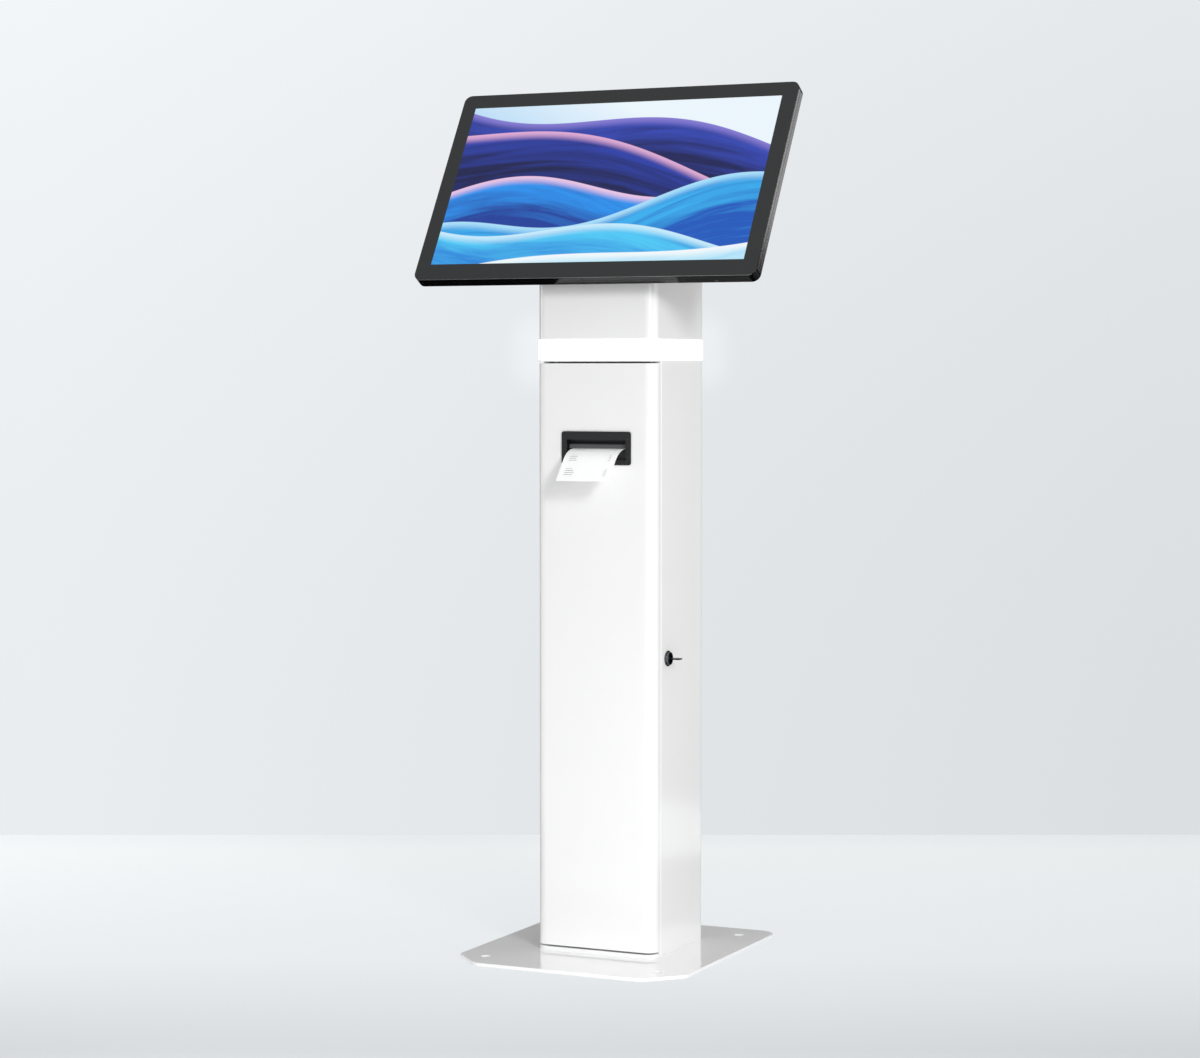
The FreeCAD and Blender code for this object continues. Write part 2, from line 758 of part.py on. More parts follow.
def makeNeck():
    ring("neck_shell", "0", "sheet", "ledTop", "neckHeight",
         "frontRadius", "backRadius", "frontRadius - sheet", "backRadius - sheet")
    flange = newBody("neck_flange")
    inset = "innerSide - weldGap"
    front = "columnFront + sheet + weldGap"
    back = "innerBack - weldGap"
    shape = sketchOn(flange, "XY", "ledTop")
    rectangle(shape, ("-(%s)" % inset, inset), (front, back))
    pad(flange, shape, "neckPlate")
    roundOff(flange, "frontRadius - sheet", edgesAlong(flange, "z", [("-(%s)" % inset, front), (inset, front)]))
    roundOff(flange, "backRadius - sheet", edgesAlong(flange, "z", [("-(%s)" % inset, back), (inset, back)]))
    holes = sketchOn(flange, "XY", "ledTop")
    rectangle(holes, ("-50", "50"), ("columnMiddle - 34", "columnMiddle + 34"))
    for x, y in tieSpots:
        circle(holes, x, y, "tieScrew/2 + screwPlay")
    pocket(flange, holes, "neckPlate")

    cap = newBody("neck_cap")
    shape = sketchOn(cap, "XY", "neckTop")
    rectangle(shape, ("-columnSide", "columnSide"), ("columnFront", "columnBack"))
    pad(cap, shape, "neckPlate")
    roundOff(cap, "frontRadius", edgesAlong(cap, "z", [("-columnSide", "columnFront"), ("columnSide", "columnFront")]))
    roundOff(cap, "backRadius", edgesAlong(cap, "z", [("-columnSide", "columnBack"), ("columnSide", "columnBack")]))
    holes = sketchOn(cap, "XY", "neckTop")
    circle(holes, "0", "pivotY", "neckCableHole/2")
    for x, y in bracketSpots:
        circle(holes, x, y, "tieScrew/2 + runningPlay")
    pocket(cap, holes, "neckPlate")

    parts = []
    for i, (x, y) in enumerate(tieSpots):
        head = rod("TieHead%d" % i, "z", ("headerBottom - tieScrew", "headerBottom"), (x, y), "tieHead")
        shank = rod("TieShank%d" % i, "z", ("headerBottom", "ledTop + neckPlate + 8"), (x, y), "tieScrew/2")
        nut = hexagon("TieNutBlank%d" % i, "z", ("ledTop + neckPlate", "ledTop + neckPlate + 5"), (x, y), "10")
        bore = rod("TieNutBore%d" % i, "z", ("ledTop", "ledTop + neckPlate + 6"), (x, y), "tieScrew/2 + runningPlay")
        parts += [fuse("TieScrew%d" % i, [head, shank]), cut("TieNut%d" % i, nut, [bore])]
    keep(together("NeckFasteners", parts), "neck_fasteners")


# Tilt mount

bracketSpots = four("bracketWidth - 52", "bracketDeep - 20", "pivotY")


def makeNeckBracket():
    body = newBody("neck_bracket")
    base = sketchOn(body, "XY", "capTop")
    rectangle(base, ("-bracketWidth/2", "bracketWidth/2"), ("pivotY - bracketDeep/2", "pivotY + bracketDeep/2"))
    pad(body, base, "bracketThick")
    for low in ("bracketEar", "-bracketEar - bracketEarThick"):
        ear = sketchOn(body, "YZ", low)
        outline(ear, [("pivotY - 30", "bracketTop - bracketThick/2"), ("pivotY + 30", "bracketTop - bracketThick/2"),
                      ("pivotY + bracketEarRadius", "pivotZ"), ("pivotY - bracketEarRadius", "pivotZ")])
        pad(body, ear, "bracketEarThick")
        top = sketchOn(body, "YZ", low)
        circle(top, "pivotY", "pivotZ", "bracketEarRadius")
        pad(body, top, "bracketEarThick")
    bore = sketchOn(body, "YZ", "-bracketWidth/2")
    circle(bore, "pivotY", "pivotZ", "pivotRadius + runningPlay")
    pocket(body, bore, "bracketWidth")
    holes = sketchOn(body, "XY", "capTop")
    circle(holes, "0", "pivotY", "neckCableHole/2")
    for x, y in bracketSpots:
        circle(holes, x, y, "tieScrew/2 + runningPlay")
    pocket(body, holes, "bracketThick")

    parts = []
    for i, (x, y) in enumerate(bracketSpots):
        head = rod("BracketHead%d" % i, "z", ("bracketTop", "bracketTop + 3.3"), (x, y), "tieHead")
        shank = rod("BracketShank%d" % i, "z", ("neckTop - 4", "bracketTop"), (x, y), "tieScrew/2")
        parts.append(fuse("BracketScrew%d" % i, [head, shank]))
    keep(together("BracketScrews", parts), "bracket_screws")


def makeHeadBracket():
    body = newBody("head_bracket")
    plate = sketchOn(body, "XZ", "bulgeDepth")
    rectangle(plate, ("-mountPlate/2", "mountPlate/2"), ("-mountPlate/2", "mountPlate/2"))
    pad(body, plate, "mountThick")
    for low in ("headEar - earThick", "-headEar"):
        ear = sketchOn(body, "YZ", low)
        outline(ear, [("bulgeDepth + mountThick/2", "pivotRise - 32"), ("pivotDepth", "pivotRise - headEarRadius"),
                      ("pivotDepth", "pivotRise + headEarRadius"), ("bulgeDepth + mountThick/2", "pivotRise + 44")])
        pad(body, ear, "earThick")
        tip = sketchOn(body, "YZ", low)
        circle(tip, "pivotDepth", "pivotRise", "headEarRadius")
        pad(body, tip, "earThick")
    bore = sketchOn(body, "YZ", "-mountPlate/2")
    circle(bore, "pivotDepth", "pivotRise", "pivotRadius + runningPlay")
    pocket(body, bore, "mountPlate")
    holes = sketchOn(body, "XZ", "bulgeDepth")
    for x, z in four("mountPitch", "mountPitch"):
        circle(holes, x, z, "mountScrew/2 + screwPlay")
    pocket(body, holes, "mountThick")
    leanBack(body)

    screws = []
    for i, (x, z) in enumerate(four("mountPitch", "mountPitch")):
        head = rod("MountHead%d" % i, "y", ("bulgeDepth + mountThick", "bulgeDepth + mountThick + 2.6"), (x, z), "mountScrew")
        shank = rod("MountShank%d" % i, "y", ("bulgeDepth - 7", "bulgeDepth + mountThick"), (x, z), "mountScrew/2")
        screws.append(fuse("MountScrew%d" % i, [head, shank]))
    group = keep(together("VesaScrews", screws), "vesa_screws")
    leanBack(group)


def makePivots():
    # A shoulder bolt, a nut and a friction washer on each side.
    bolts, washers = [], []
    for side, sign in (("Right", ""), ("Left", "-")):
        def along(near, far):
            return (near, far) if sign == "" else ("-(%s)" % far, "-(%s)" % near)
        at = ("pivotY", "pivotZ")
        outer = "bracketEar + bracketEarThick"
        inner = "headEar - earThick - runningPlay"
        head = rod("PivotHead" + side, "x", along(outer, outer + " + 4.5"), at, "2*pivotRadius")
        shank = rod("PivotShank" + side, "x", along(inner + " - 7", outer), at, "pivotRadius")
        nut = hexagon("PivotNutBlank" + side, "x", along(inner + " - 6", inner), at, "13")
        bore = rod("PivotNutBore" + side, "x", along(inner + " - 8", inner + " + 1"), at, "pivotRadius + runningPlay")
        bolts += [fuse("PivotBolt" + side, [head, shank]), cut("PivotNut" + side, nut, [bore])]
        disc = rod("WasherBlank" + side, "x", along("headEar + runningPlay", "headEar + runningPlay + washerThick"), at, "9")
        eye = rod("WasherEye" + side, "x", along("headEar - 1", "bracketEar + 1"), at, "pivotRadius + runningPlay")
        washers.append(cut("Washer" + side, disc, [eye]))
    keep(together("PivotFasteners", bolts), "pivot_fasteners")
    keep(together("FrictionWashers", washers), "friction_washers")


# Display, made in its own frame: the glass's front centre is the origin, depth grows along +Y

def glassOutline(sketch):
    rectangle(sketch, ("-glassWidth/2", "glassWidth/2"), ("-glassHeight/2", "glassHeight/2"))


glassCorners = [("-glassWidth/2", "-glassHeight/2"), ("glassWidth/2", "-glassHeight/2"),
                ("glassWidth/2", "glassHeight/2"), ("-glassWidth/2", "glassHeight/2")]
housingSpots = ([(x, z) for x in ("-glassWidth/2 + housingScrewInset", "0", "glassWidth/2 - housingScrewInset")
                 for z in ("-glassHeight/2 + rimWall/2", "glassHeight/2 - rimWall/2")]
                + [(x, "0") for x in ("-glassWidth/2 + rimWall/2", "glassWidth/2 - rimWall/2")])


def makeGlass():
    body = newBody("cover_glass")
    shape = sketchOn(body, "XZ")
    glassOutline(shape)
    pad(body, shape, "glassThick")
    roundOff(body, "glassRadius", edgesAlong(body, "y", glassCorners))
    leanBack(body)


def makeFrontFrame():
    body = newBody("front_frame")
    shape = sketchOn(body, "XZ", "glassThick")
    glassOutline(shape)
    pad(body, shape, "frameDepth - glassThick")
    roundOff(body, "glassRadius", edgesAlong(body, "y", glassCorners))
    inside = sketchOn(body, "XZ", "glassThick")
    rectangle(inside, ("-glassWidth/2 + rimWall", "glassWidth/2 - rimWall"),
              ("-glassHeight/2 + rimWall", "glassHeight/2 - rimWall"))
    pocket(body, inside, "frameDepth - glassThick")
    holes = sketchOn(body, "XZ", "frameDepth")
    for x, z in housingSpots:
        circle(holes, x, z, "1.2")
    pocket(body, holes, "5", back=True)
    leanBack(body)


def makeRearCover():
    body = newBody("rear_cover")
    shape = sketchOn(body, "XZ", "frameDepth")
    glassOutline(shape)
    pad(body, shape, "rimDepth - frameDepth")
    roundOff(body, "glassRadius", edgesAlong(body, "y", glassCorners))
    bulge = sketchOn(body, "XZ", "rimDepth")
    rectangle(bulge, ("-bulgeWidth/2", "bulgeWidth/2"), ("-bulgeHeight/2", "bulgeHeight/2"))
    pad(body, bulge, "bulgeDepth - rimDepth", taper="-bulgeTaper")
    tray = sketchOn(body, "XZ", "frameDepth")
    rectangle(tray, ("-glassWidth/2 + rimWall", "glassWidth/2 - rimWall"),
              ("-glassHeight/2 + rimWall", "glassHeight/2 - rimWall"))
    pocket(body, tray, "rimDepth - frameDepth - backWall")
    hollow = sketchOn(body, "XZ", "rimDepth - backWall")
    rectangle(hollow, ("-bulgeWidth/2 + backWall", "bulgeWidth/2 - backWall"),
              ("-bulgeHeight/2 + backWall", "bulgeHeight/2 - backWall"))
    pocket(body, hollow, "bulgeDepth - rimDepth", taper="-bulgeTaper")
    for x, z in four("mountPitch", "mountPitch"):
        boss = sketchOn(body, "XZ", "bulgeDepth - backWall - 5")
        circle(boss, x, z, "mountScrew + 1.5")
        pad(body, boss, "5 + backWall/2")
    holes = sketchOn(body, "XZ", "bulgeDepth")
    for x, z in four("mountPitch", "mountPitch"):
        circle(holes, x, z, "mountScrew/2 + runningPlay")
    pocket(body, holes, "backWall + 5", back=True)
    exit = sketchOn(body, "XZ", "bulgeDepth")
    circle(exit, "0", "-bulgeHeight/2 + 26", "9")
    for slot in range(-9, 10):
        middle = "%d*ventPitch" % slot
        rectangle(exit, (middle + " - ventWidth/2", middle + " + ventWidth/2"),
                  ("bulgeHeight/2 - housingVentDrop - housingVentTall", "bulgeHeight/2 - housingVentDrop"))
    pocket(body, exit, "backWall", back=True)
    rim = sketchOn(body, "XZ", "rimDepth")
    for x, z in housingSpots:
        circle(rim, x, z, "1.6")
    pocket(body, rim, "rimDepth - frameDepth", back=True)
    button = sketchOn(body, "XY", "-glassHeight/2")
    circle(button, "buttonX", "(frameDepth + rimDepth - backWall)/2", "buttonRadius + buttonPlay")
    pocket(body, button, "rimWall")
    leanBack(body)


def makeDisplayInside():
    panel = newBody("lcd_panel")
    shape = sketchOn(panel, "XZ", "glassThick")
    rectangle(shape, ("-panelWidth/2", "panelWidth/2"), ("1 - panelHeight/2", "1 + panelHeight/2"))
    pad(panel, shape, "panelThick")
    leanBack(panel)

    back = "glassThick + panelThick"
    board = newBody("driver_board")
    shape = sketchOn(board, "XZ", back + " + boardStandoff")
    rectangle(shape, ("-boardWidth/2", "boardWidth/2"), ("boardRise - boardHeight/2", "boardRise + boardHeight/2"))
    pad(board, shape, "boardThick")
    parts = sketchOn(board, "XZ", back + " + boardStandoff + boardThick")
    for x, z, wide, tall in ((-40, 12, 18, 18), (0, 10, 26, 14), (44, -8, 30, 12), (-50, -20, 12, 22)):
        rectangle(parts, ("%d - %d/2" % (x, wide), "%d + %d/2" % (x, wide)),
                  ("boardRise + %d - %d/2" % (z, tall), "boardRise + %d + %d/2" % (z, tall)))
    pad(board, parts, "6")
    leanBack(board)
    posts = []
    for i, (x, z) in enumerate(four("boardWidth - 12", "boardHeight - 12", "boardRise")):
        posts.append(rod("Standoff%d" % i, "y", (back, back + " + boardStandoff"), (x, z), "3"))
    group = keep(together("BoardStandoffs", posts), "board_standoffs")
    leanBack(group)

    screws = []
    for i, (x, z) in enumerate(housingSpots):
        head = rod("HousingHead%d" % i, "y", ("rimDepth", "rimDepth + 1.6"), (x, z), "2.8")
        shank = rod("HousingShank%d" % i, "y", ("frameDepth - 4", "rimDepth"), (x, z), "1.15")
        screws.append(fuse("HousingScrew%d" % i, [head, shank]))
    group = keep(together("HousingScrews", screws), "housing_screws")
    leanBack(group)

    at = ("buttonX", "(frameDepth + rimDepth - backWall)/2")
    stem = rod("ButtonStem", "z", ("-glassHeight/2 - buttonProud", "-glassHeight/2 + rimWall + 0.3"), at, "buttonRadius")
    collar = rod("ButtonCollar", "z", ("-glassHeight/2 + rimWall + 0.1", "-glassHeight/2 + rimWall + 0.8"), at, "buttonRadius + 0.5")
    button = keep(fuse("PowerButton", [stem, collar]), "power_button")
    leanBack(button)


# Door and hinges

hingeHeights = ["hingeLow + %d*hingePitch" % i for i in range(3)]
studSpots = [("printerX %s (cheekSide + earReach/2)" % side, "bezelMiddle - 2 %s studSpanTall/2" % up)
             for side in "-+" for up in "-+"]


def makeDoor():
    body = newBody("door_panel")
    shape = sketchOn(body, "XY", "doorBottom")
    rectangle(shape, ("-columnSide", "columnSide"), ("columnFront", "seam"))
    pad(body, shape, "doorTop - doorBottom")
    pan = sketchOn(body, "XY", "doorBottom + doorSheet")
    inside = "columnSide - doorSheet"
    lip = "seam - doorSheet"
    rectangle(pan, ("-(%s)" % inside, inside), ("doorInside", lip))
    pocket(body, pan, "doorTop - doorBottom - 2*doorSheet")
    roundOff(body, "frontRadius - doorSheet",
             edgesAlong(body, "z", [("-(%s)" % inside, "doorInside"), (inside, "doorInside")]))
    roundOff(body, "frontRadius", edgesAlong(body, "z", [("-columnSide", "columnFront"), ("columnSide", "columnFront")]))
    mouth = sketchOn(body, "XY", "doorBottom + doorSheet")
    rectangle(mouth, ("-(%s)" % inside, "%s - doorLip" % inside), ("%s - doorSheet" % lip, "seam + 1"))
    pocket(body, mouth, "doorTop - doorBottom - 2*doorSheet")
    window = sketchOn(body, "XZ", "columnFront")
    rectangle(window, ("printerX - bezelBodyWidth/2 - bezelCutPlay", "printerX + bezelBodyWidth/2 + bezelCutPlay"),
              ("bezelMiddle - bezelBodyHeight/2 - bezelCutPlay", "bezelMiddle + bezelBodyHeight/2 + bezelCutPlay"))
    pocket(body, window, "doorSheet")
    studs = sketchOn(body, "XZ", "columnFront + doorSheet/2")
    for x, z in studSpots:
        circle(studs, x, z, "studRadius")
    pad(body, studs, "doorSheet/2 + studLength")

    stiff = newBody("door_stiffener")
    shape = sketchOn(stiff, "XY", "stiffenerLow")
    foot = 8
    half = "stiffenerWidth/2"
    deep = "doorInside + stiffenerDeep"
    outline(shape, [("-%s - %d" % (half, foot), "doorInside"), ("-%s + doorSheet" % half, "doorInside"),
                    ("-%s + doorSheet" % half, deep + " - doorSheet"), ("%s - doorSheet" % half, deep + " - doorSheet"),
                    ("%s - doorSheet" % half, "doorInside"), ("%s + %d" % (half, foot), "doorInside"),
                    ("%s + %d" % (half, foot), "doorInside + doorSheet"), (half, "doorInside + doorSheet"),
                    (half, deep), ("-" + half, deep), ("-" + half, "doorInside + doorSheet"),
                    ("-%s - %d" % (half, foot), "doorInside + doorSheet")])
    pad(stiff, shape, "stiffenerHigh - stiffenerLow")

    nuts = []
    for i, (x, z) in enumerate(studSpots):
        low = "doorInside + printerEarThick"
        nut = hexagon("StudNutBlank%d" % i, "y", (low, low + " + studNutThick"), (x, z), "studNutFlats")
        bore = rod("StudNutBore%d" % i, "y", (low + " - 1", low + " + studNutThick + 1"), (x, z), "studRadius + runningPlay")
        nuts.append(cut("StudNut%d" % i, nut, [bore]))
    keep(together("PrinterNuts", nuts), "printer_nuts")

    pads = []
    for i, z in enumerate(("doorBottom + 60", "(doorBottom + doorTop)/2", "doorTop - 60")):
        pads.append(rod("Bumper%d" % i, "y", ("wallFront - bumperThick", "wallFront"),
                        ("innerSide - doorLip/2", z), "bumperRadius"))
    keep(together("DoorBumpers", pads), "door_bumpers")


def makeHinges():
    frameParts, doorParts, pins = [], [], []
    for i, z in enumerate(hingeHeights):
        middle = "%s + barrelHeight" % z
        top = "%s + 2*barrelHeight + barrelStep" % z
        at = ("hingeX", "hingeY")
        low = rod("LowBarrel%d" % i, "z", (z, middle), at, "barrelRadius")
        tab = block("FrameTab%d" % i, ("-columnSide - tabThick", "-columnSide"),
                    ("wallFront", "wallFront + tabWidth"), (z, middle))
        frameParts.append(cut("FrameHalf%d" % i, fuse("FrameBlank%d" % i, [low, tab]),
                              [rod("FrameBore%d" % i, "z", (z + " + barrelStep", middle + " + 1"), at, "pinRadius")]))
        high = rod("HighBarrel%d" % i, "z", (middle + " + barrelStep", top), at, "barrelRadius")
        leaf = block("DoorTab%d" % i, ("-columnSide - tabThick", "-columnSide"),
                     ("seam - doorTabWidth", "seam"), (middle + " + barrelStep", top))
        doorParts.append(cut("DoorHalf%d" % i, fuse("DoorBlank%d" % i, [high, leaf]),
                             [rod("DoorBore%d" % i, "z", (middle, top + " - 2"), at, "pinRadius + runningPlay")]))
        pins.append(rod("Pin%d" % i, "z", (z + " + barrelStep", top + " - 3"), at, "pinRadius"))
    keep(together("HingeFrame", frameParts), "hinge_barrels_frame")
    keep(together("HingeDoor", doorParts), "hinge_barrels_door")
    keep(together("HingePins", pins), "hinge_pins")


def makeCatch():
    # The lock's cam turns up in front of the catch's rear tab and holds the door shut.
    low = "lockHeight + catchAbove"
    high = low + " + catchTall"
    strip = "camFront + 4"
    rear = "lockY + camHalfWidth + catchGap"
    foot = block("CatchFoot", (strip + " - 16", strip), ("doorInside", "doorInside + catchThick"), (low, high))
    arm = block("CatchArm", (strip, strip + " + catchThick"), ("doorInside", rear + " + catchThick"), (low, high))
    tab = block("CatchTab", ("camBack - 1", strip + " + catchThick"), (rear, rear + " + catchThick"), (low, high))
    keep(fuse("DoorCatch", [foot, arm, tab]), "door_catch")


# Lock

def makeLock():
    at = ("lockY", "lockHeight")
    flange = rod("LockFlange", "x", ("columnSide", "columnSide + lockFlangeThick"), at, "lockFlangeRadius")
    boss = rod("LockBoss", "x", ("columnSide + lockFlangeThick", "lockFace"), at, "lockBossRadius")
    barrel = rod("LockBarrel", "x", ("camFront + 1", "columnSide"), at, "lockBarrelRadius")
    bore = rod("LockBore", "x", ("camFront", "lockFace + 1"), at, "plugRadius + runningPlay")
    keep(cut("LockHousing", fuse("LockBlank", [flange, boss, barrel]), [bore]), "lock_housing")
    nut = hexagon("LockNutBlank", "x", ("innerSide - lockNutThick", "innerSide"), at, "lockNutFlats")
    eye = rod("LockNutBore", "x", ("innerSide - lockNutThick - 1", "innerSide + 1"), at, "lockBarrelRadius + runningPlay")
    keep(cut("LockNut", nut, [eye]), "lock_nut")

    side = "shankSide/2"
    plug = rod("PlugBarrel", "x", ("camFront", "lockFace + 0.3"), at, "plugRadius")
    shank = block("PlugShank", ("camBack", "camFront"), ("lockY - " + side, "lockY + " + side),
                  ("lockHeight - " + side, "lockHeight + " + side))
    keyway = block("Keyway", ("lockFace - keyBladeLength - 0.5", "lockFace + 1"),
                   ("lockY - keyBladeWidth/2 - 0.1", "lockY + keyBladeWidth/2 + 0.1"),
                   ("lockHeight - keyThick/2 - 0.1", "lockHeight + keyThick/2 + 0.1"))
    tapped = rod("PlugTapped", "x", ("camBack - 1", "camFront + 4"), at, "2.05")
    keep(cut("LockPlug", fuse("PlugBlank", [plug, shank]), [keyway, tapped]), "lock_plug")

    hub = rod("CamHub", "x", ("camBack", "camFront"), at, "camHubRadius")
    arm = block("CamArm", ("camBack", "camFront"), ("lockY - camReach", "lockY"),
                ("lockHeight - camHalfWidth", "lockHeight + camHalfWidth"))
    tip = rod("CamTip", "x", ("camBack", "camFront"), ("lockY - camReach", "lockHeight"), "camHalfWidth")
    square = block("CamSquare", ("camBack - 1", "camFront + 1"),
                   ("lockY - %s - runningPlay" % side, "lockY + %s + runningPlay" % side),
                   ("lockHeight - %s - runningPlay" % side, "lockHeight + %s + runningPlay" % side))
    keep(cut("LockCam", fuse("CamBlank", [hub, arm, tip]), [square]), "lock_cam")
    head = rod("CamScrewHead", "x", ("camBack - 2.6", "camBack"), at, "5")
    stem = rod("CamScrewStem", "x", ("camBack", "camFront + 3"), at, "2")
    keep(fuse("CamScrew", [head, stem]), "cam_screw")

    blade = block("KeyBlade", ("lockFace - keyBladeLength", "lockFace + keyNeck"),
                  ("lockY - keyBladeWidth/2", "lockY + keyBladeWidth/2"),
                  ("lockHeight - keyThick/2", "lockHeight + keyThick/2"))
    bowStart = "lockFace + keyNeck"
    bow = block("KeyBow", (bowStart, bowStart + " + keyBowLength - 4"), ("lockY - keyBowHalf", "lockY + keyBowHalf"),
                ("lockHeight - keyThick/2", "lockHeight + keyThick/2"))
    end = block("KeyEnd", (bowStart, bowStart + " + keyBowLength"), ("lockY - keyBowHalf + 4", "lockY + keyBowHalf - 4"),
                ("lockHeight - keyThick/2", "lockHeight + keyThick/2"))
    rounds = [rod("KeyRound" + side, "z", ("lockHeight - keyThick/2", "lockHeight + keyThick/2"),
                  (bowStart + " + keyBowLength - 4", "lockY %s (keyBowHalf - 4)" % sign), "4")
              for side, sign in (("Near", "-"), ("Far", "+"))]
    hole = rod("KeyHole", "z", ("lockHeight - keyThick", "lockHeight + keyThick"),
               (bowStart + " + keyBowLength - 4.5", "lockY"), "2.2")
    keep(cut("Key", fuse("KeyBlank", [blade, bow, end] + rounds), [hole]), "key")


# Receipt printer

def printerSpan(width):
    return ("printerX - (%s)/2" % width, "printerX + (%s)/2" % width)


def makeBezel():
    body = newBody("printer_bezel")
    across, up = printerSpan("bezelWidth"), ("bezelMiddle - bezelHeight/2", "bezelMiddle + bezelHeight/2")
    shape = sketchOn(body, "XZ", "bezelFace")
    rectangle(shape, across, up)
    pad(body, shape, "bezelProud")
    roundOff(body, "bezelRadius", edgesAlong(body, "y", [(x, z) for x in across for z in up]))
    inner = sketchOn(body, "XZ", "columnFront")
    rectangle(inner, printerSpan("bezelBodyWidth"), ("bezelMiddle - bezelBodyHeight/2", "bezelMiddle + bezelBodyHeight/2"))
    pad(body, inner, "bezelBodyDeep")
    recess = sketchOn(body, "XZ", "bezelFace")
    rectangle(recess, printerSpan("recessWidth"), ("recessLow", "recessHigh"))
    pocket(body, recess, "bezelProud + bezelBodyDeep - bezelBackWall")
    roof = sketchOn(body, "YZ", "printerX - recessWidth/2")
    outline(roof, [("bezelFace + 1", "recessHigh"), ("bezelBack - bezelBackWall", "recessLip"),
                   ("bezelBack - bezelBackWall", "recessHigh")])
    pad(body, roof, "recessWidth")
    slot = sketchOn(body, "XZ", "bezelBack - bezelBackWall")
    rectangle(slot, printerSpan("slotWidth"), ("slotHeight - 1.6", "slotHeight + 1"))
    pocket(body, slot, "bezelBackWall")
    eye = sketchOn(body, "XZ", "bezelFace")
    lensAt = ("printerX + bezelWidth/2 - lensInset", "bezelMiddle + bezelHeight/2 - lensDrop")
    circle(eye, lensAt[0], lensAt[1], "lensRadius + runningPlay")
    pocket(body, eye, "1.5")

    lens = rod("StatusLens", "y", ("bezelFace - lensProud", "bezelFace + 1.5"), lensAt, "lensRadius")
    keep(lens, "status_lens")


def makeTearBar():
    # A serrated steel bar over the slot, its teeth along the lower front edge.
    body = newBody("tear_bar")
    low = "paperTop + tearBarGap"
    back = "bezelBack - bezelBackWall"
    start = printerSpan("tearBarWidth")[0]
    shape = sketchOn(body, "YZ", start)
    outline(shape, [(back, low), (back, "%s + tearBarTall" % low), (back + " - tearBarDeep/2", "%s + tearBarTall" % low),
                    (back + " - tearBarDeep", low)])
    pad(body, shape, "tearBarWidth")
    teeth = sketchOn(body, "XY", low)
    count = 40
    for i in range(count):
        near = "%s + (%d + 0.25)*tearBarWidth/%d" % (start, i, count)
        tip = "%s + (%d + 0.5)*tearBarWidth/%d" % (start, i, count)
        far = "%s + (%d + 0.75)*tearBarWidth/%d" % (start, i, count)
        outline(teeth, [(near, back + " - tearBarDeep - 1"), (far, back + " - tearBarDeep - 1"),
                        (tip, back + " - tearBarDeep + 0.8")])
    pocket(body, teeth, "1")


def makeChassis():
    body = newBody("printer_chassis")
    shape = sketchOn(body, "XY", "chassisLow")
    rectangle(shape, printerSpan("2*chassisSide"), ("bezelBack", "chassisBack"))
    pad(body, shape, "chassisHigh - chassisLow")
    inside = sketchOn(body, "XY", "chassisLow + chassisWall")
    rectangle(inside, printerSpan("chassisInner"), ("bezelBack + chassisWall", "chassisBack - chassisWall"))
    pocket(body, inside, "chassisHigh - chassisLow")
    for sign in "-+":
        near = "printerX %s chassisSide" % sign
        far = "printerX %s cheekSide" % sign
        reach = "printerX %s (cheekSide + earReach)" % sign
        spans = (near, far), (near, reach)
        if sign == "-":
            spans = (far, near), (reach, near)
        cheek = sketchOn(body, "XY", "cheekLow")
        rectangle(cheek, spans[0], ("doorInside", "cheekBack"))
        pad(body, cheek, "chassisHigh - cheekLow")
        ear = sketchOn(body, "XY", "cheekLow")
        rectangle(ear, spans[1], ("doorInside", "doorInside + printerEarThick"))
        pad(body, ear, "chassisHigh - cheekLow")
    bar = sketchOn(body, "XY", "chassisHigh - chassisWall")
    rectangle(bar, printerSpan("chassisInner + 1"), ("bezelBack", "platenY + headDeep/2"))
    pad(body, bar, "chassisWall")
    mouth = sketchOn(body, "XZ", "bezelBack")
    rectangle(mouth, printerSpan("slotWidth"), ("slotHeight - 4", "slotHeight + 5"))
    pocket(body, mouth, "chassisWall")
    bores = sketchOn(body, "YZ", "printerX - cheekSide")
    circle(bores, "platenY", "platenZ", "platenShaft + runningPlay")
    circle(bores, "rollY", "rollZ", "rollBore - spindlePlay + runningPlay")
    circle(bores, "motorY", "motorZ", "motorShaft + 1")
    pocket(body, bores, "2*cheekSide")
    holes = sketchOn(body, "XZ", "doorInside")
    for x, z in studSpots:
        circle(holes, x, z, "studRadius + screwPlay")
    pocket(body, holes, "printerEarThick")


def makeRollers():
    roll = rod("RollBlank", "x", printerSpan("paperWidth - 0.5"), ("rollY", "rollZ"), "rollRadius")
    core = rod("RollCore", "x", printerSpan("paperWidth + 2"), ("rollY", "rollZ"), "rollBore")
    keep(cut("PaperRoll", roll, [core]), "paper_roll")
    keep(rod("Spindle", "x", printerSpan("2*chassisSide"), ("rollY", "rollZ"), "rollBore - spindlePlay"), "roll_spindle")
    rubber = rod("PlatenRubber", "x", printerSpan("paperWidth + 4"), ("platenY", "platenZ"), "platenRadius")
    shaft = rod("PlatenShaft", "x", ("printerX - chassisSide", "printerX + cheekSide + gearGap + gearWidth"),
                ("platenY", "platenZ"), "platenShaft")
    keep(fuse("PlatenRoller", [rubber, shaft]), "platen_roller")


